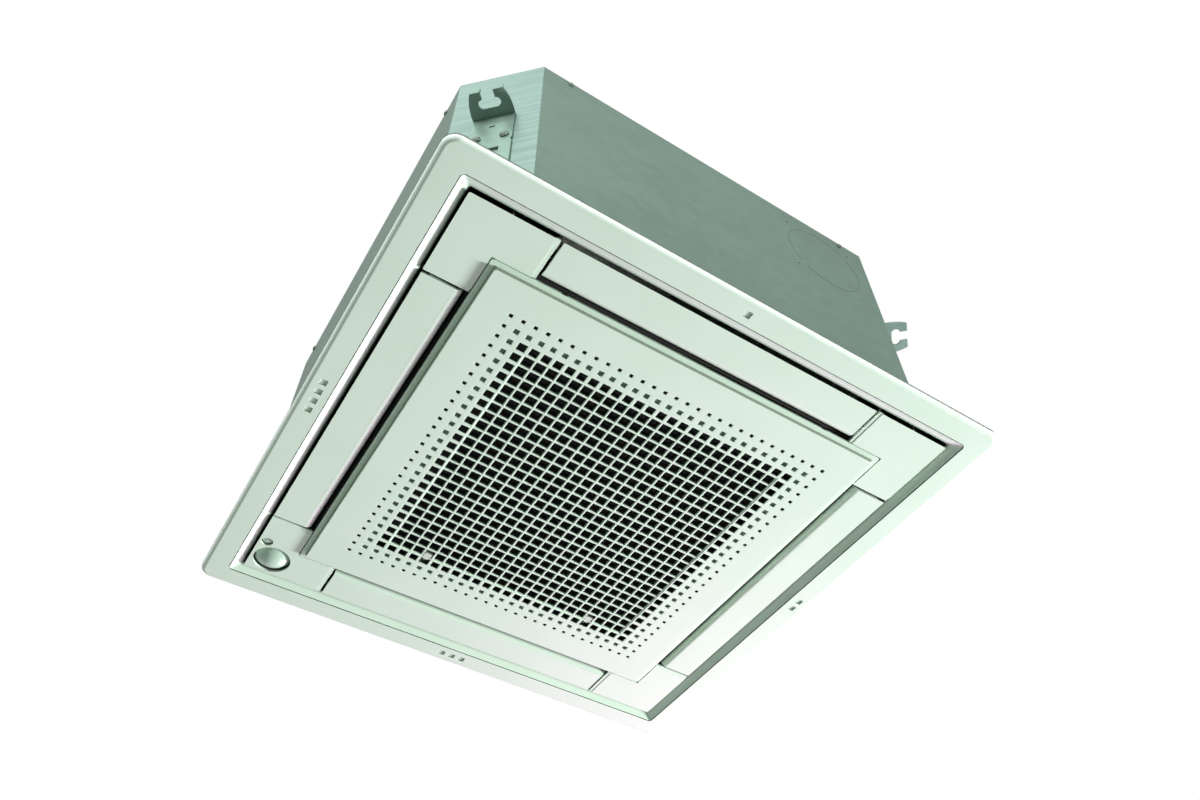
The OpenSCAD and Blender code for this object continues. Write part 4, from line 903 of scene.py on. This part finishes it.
def tray_parts():
    """The face's plain rim, the tray's wall and the back of its rim, lofted round the lattice."""
    lines = grille_lines()[1]
    wall, inner = TRAY_H - 0.4, FACE_H - SKIN
    section = fillet([(200, 0, 0), (FACE_H, 0, 0.25), (FACE_H + 0.35, 0.4, 0.2), (wall, BAND_Z, 0),
                      (wall, TRAY_BACK, 0), (inner, TRAY_BACK, 0.3), (inner, SKIN, 0.5), (200, SKIN, 0)], 3)
    n = 6
    rings = round_square(section, np.interp(section[:, 0], TRAY_CORNER_H, TRAY_CORNER_R), n)
    p, m = rings.shape[:2]
    points, faces = loft(rings, closed=True)
    # The last band, which would close the section across the face, gives way to strips round the lattice.
    parts = [(points, faces[:(p - 1) * m])]
    for z, ring in ((0, rings[0]), (SKIN, rings[-1])):
        own = np.column_stack([lines, np.full(len(lines), lines[0]), np.full(len(lines), z)])
        arc = ring[2 * (n + 1):3 * (n + 1)]
        side = ring[[3 * (n + 1), 2 * (n + 1) + n]]
        strip = (np.concatenate([own, side]), [list(range(len(lines) + 2))])
        fan = (np.concatenate([own[:1], arc]), [[0, e + 2, e + 1] for e in range(n)])
        for q in (strip, fan):
            q = q if z == 0 else (q[0], [f[::-1] for f in q[1]])
            parts += [to_side(q, k) for k in range(1, 5)]
    return parts


def ledge_parts():
    """The ledge round the tray: a thin skin, thickened in two runs that leave room for the hinge lugs."""
    root, edge, under = TRAY_H - 1.5, GRILLE_H - 0.15, BAND_Z + 0.6
    skin = fillet([(root, BAND_Z, 0), (edge - 0.4, BAND_Z, 0.15), (edge, BAND_Z + 0.4, 0.15),
                   (edge, under + 0.05, 0), (root, under + 0.05, 0)], 2)
    body = fillet([(root, under, 0), (edge, under, 0), (edge, 7, 0.3), (root, 7, 0)], 2)

    def rings(section):
        """The section's points, each carried round the square."""
        return round_square(section, np.interp(section[:, 0], TRAY_CORNER_H, TRAY_CORNER_R), 6)

    def station(x):
        """The thicker section, set across side 1 at x."""
        return np.column_stack([np.full(len(body), x), -body[:, 0], body[:, 1]])

    gap = LUG_T / 2 + 0.7
    round_tray = np.roll(rings(body).transpose(1, 0, 2), -21, 0)
    long_way = np.concatenate([[station(LUG_X + gap)], round_tray, [station(-LUG_X - gap)]])
    short_way = np.array([station(LUG_X - gap), station(gap - LUG_X)])
    return [loft(rings(skin), closed=True), loft(long_way), loft(short_way)]


def grille_back():
    """Behind the skin: bearings for the pins, guides for the latches, and posts and clips for the filter."""
    parts = []
    for x in (-LUG_X, LUG_X):
        for at in (x - BEARING_OFF, x + BEARING_OFF):
            outline, bore = circle(0, 0, BEARING_R, 24), circle(0, 0, BEARING_BORE, 20)
            ring = slab(outline, at - BEARING_LONG / 2, at + BEARING_LONG / 2, [bore])
            parts.append(moved(ring, ALONG_X, (0, HINGE_Y, HINGE_Z)))
    root, rear = SKIN - 0.1, FILTER_Z - 0.4
    for x in (-LATCH_X, LATCH_X):
        for y in GUIDE_Y:
            parts += [box(at - 2.5, at + 2.5, y, y + GUIDE_W, root, rear) for at in (x - 5.5, x + 5.5)]
            parts.append(box(x - 8, x + 8, y, y + GUIDE_W, GUIDE_ROOF, rear))
    posts = [box(x - 1.2, x + 1.2, -212, -194, root, FILTER_Z - 0.1) for x in POST_X]
    clips = [box(x - 6, x + 6, -192.6, -190.6, root, FILTER_Z + 4) for x in CLIP_X]
    return parts + [to_side(p, k) for k in range(1, 5) for p in posts + clips]


# The same white ABS, with painted shade in its holes: near black in the mesh, the square holes and the
# small holes, grey in the dimples, and a grey line where the face turns into the tray's wall.
grille_abs_painted_shade = moulded("white_abs_grille_painted_shade", *WHITE, [
    (0.9, 3, 0, 150.2, "#1C221D"),
    (0.2, 1.6, 150.2, 162.5, "#252B26"),
    (0.3, 2, 162.5, 175.5, "#6F7A70"),
    (0.2, 1.2, 175.5, 217.2, "#2A302B"),
    (0.3, 0.8, 217.3, 218.9, "#98A294")])
piece("grille", grille_face() + tray_parts() + ledge_parts() + grille_back(), grille_abs_painted_shade, "grille",
      ["suction_grille"])
dress(plated_steel, "hinge_pins")


# Latches. Two finger knobs in windows of the mesh, each with a flat bar behind the cells that
# reaches the grille's edge; moulded of ABS in a slightly greyer white.

KNOB_Y = 148.46
KNOB_HALF = (4.3, 5.0)
KNOB_Z = (1.0, 9.5)
BAR_Z = (9.3, 11.7)
BAR_END = 222.8

# Moulded ABS without the grille's painted shade: greyer and a little duller than the grille.
latch_abs = moulded("latch_abs", "#C9D4C9", "#D3DDD3", 0.45)
for name, x in (("left", -LATCH_X), ("right", LATCH_X)):
    (x0, x1), (y0, y1) = ((at - half, at + half) for at, half in zip((x, KNOB_Y), KNOB_HALF))
    knob = fillet([(x0, y0, 0.6), (x1, y0, 0.6), (x1, y1, 3.6), (x0, y1, 3.6)], 6)
    parts = [slab(knob, *KNOB_Z), box(x0, x1, y0, BAR_END, *BAR_Z)]
    piece(f"latch_knob_{name}", parts, latch_abs, f"latch_{name}",
          [f"latch_{name}"], edge=0.5)


# Sensors. A milky, glossy lens dome that lets body heat through, and a small clear lens; both
# are moulded caps pushed into the holes of the cover at -X +Y.

CAP = 7.5
DOME_Z = 0.5
DOME_R = DOME_HOLE_R - 1.6
LENS_R = LENS_HOLE_R - 1.1
LENS_BALL = 9.2
LENS_TOP = 14.2
SENSOR_BACK = 12


def ball_cap(r, ball, top, n):
    """Points (d, top - sqrt(ball^2 - d^2)) from the lowest point of a ball to the circle of radius r."""
    out = r * np.sin(np.linspace(0, np.pi / 2, n))
    return np.column_stack([out, top - np.sqrt(ball ** 2 - out ** 2)])


def turned(profile, centre, n=72):
    """Surface of revolution: each (radius, height) of the profile becomes a circle, and a pole one point."""
    points, faces = loft(np.array([at_height(circle(0, 0, max(r, 1e-9), n), z) for r, z in profile]))
    return moved((points, [f for f in faces if len(f) < n]), at=(*centre, 0))


# Lens polyethylene: milky with a green cast and a clear gloss, without any grain.
milky_lens = moulded("milky_lens", "#AECBB7", "#B6D3BF", 0.12, depth_mm=0.0)
ball = (DOME_R ** 2 + CAP ** 2) / (2 * CAP)
for name, r, ball, top, n, at, around, node in (
        ("sensor_cap", DOME_R, ball, DOME_Z + ball, 24, DOME_AT, 72, "sensor_dome"),
        ("lens_cap", LENS_R, LENS_BALL, LENS_TOP, 16, LENS_AT, 48, "floor_lens")):
    profile = np.concatenate([ball_cap(r, ball, top, n), [(r, SENSOR_BACK), (0, SENSOR_BACK)]])
    piece(name, [turned(profile, (-at[1], at[0]), around)], milky_lens, "unit", [node])
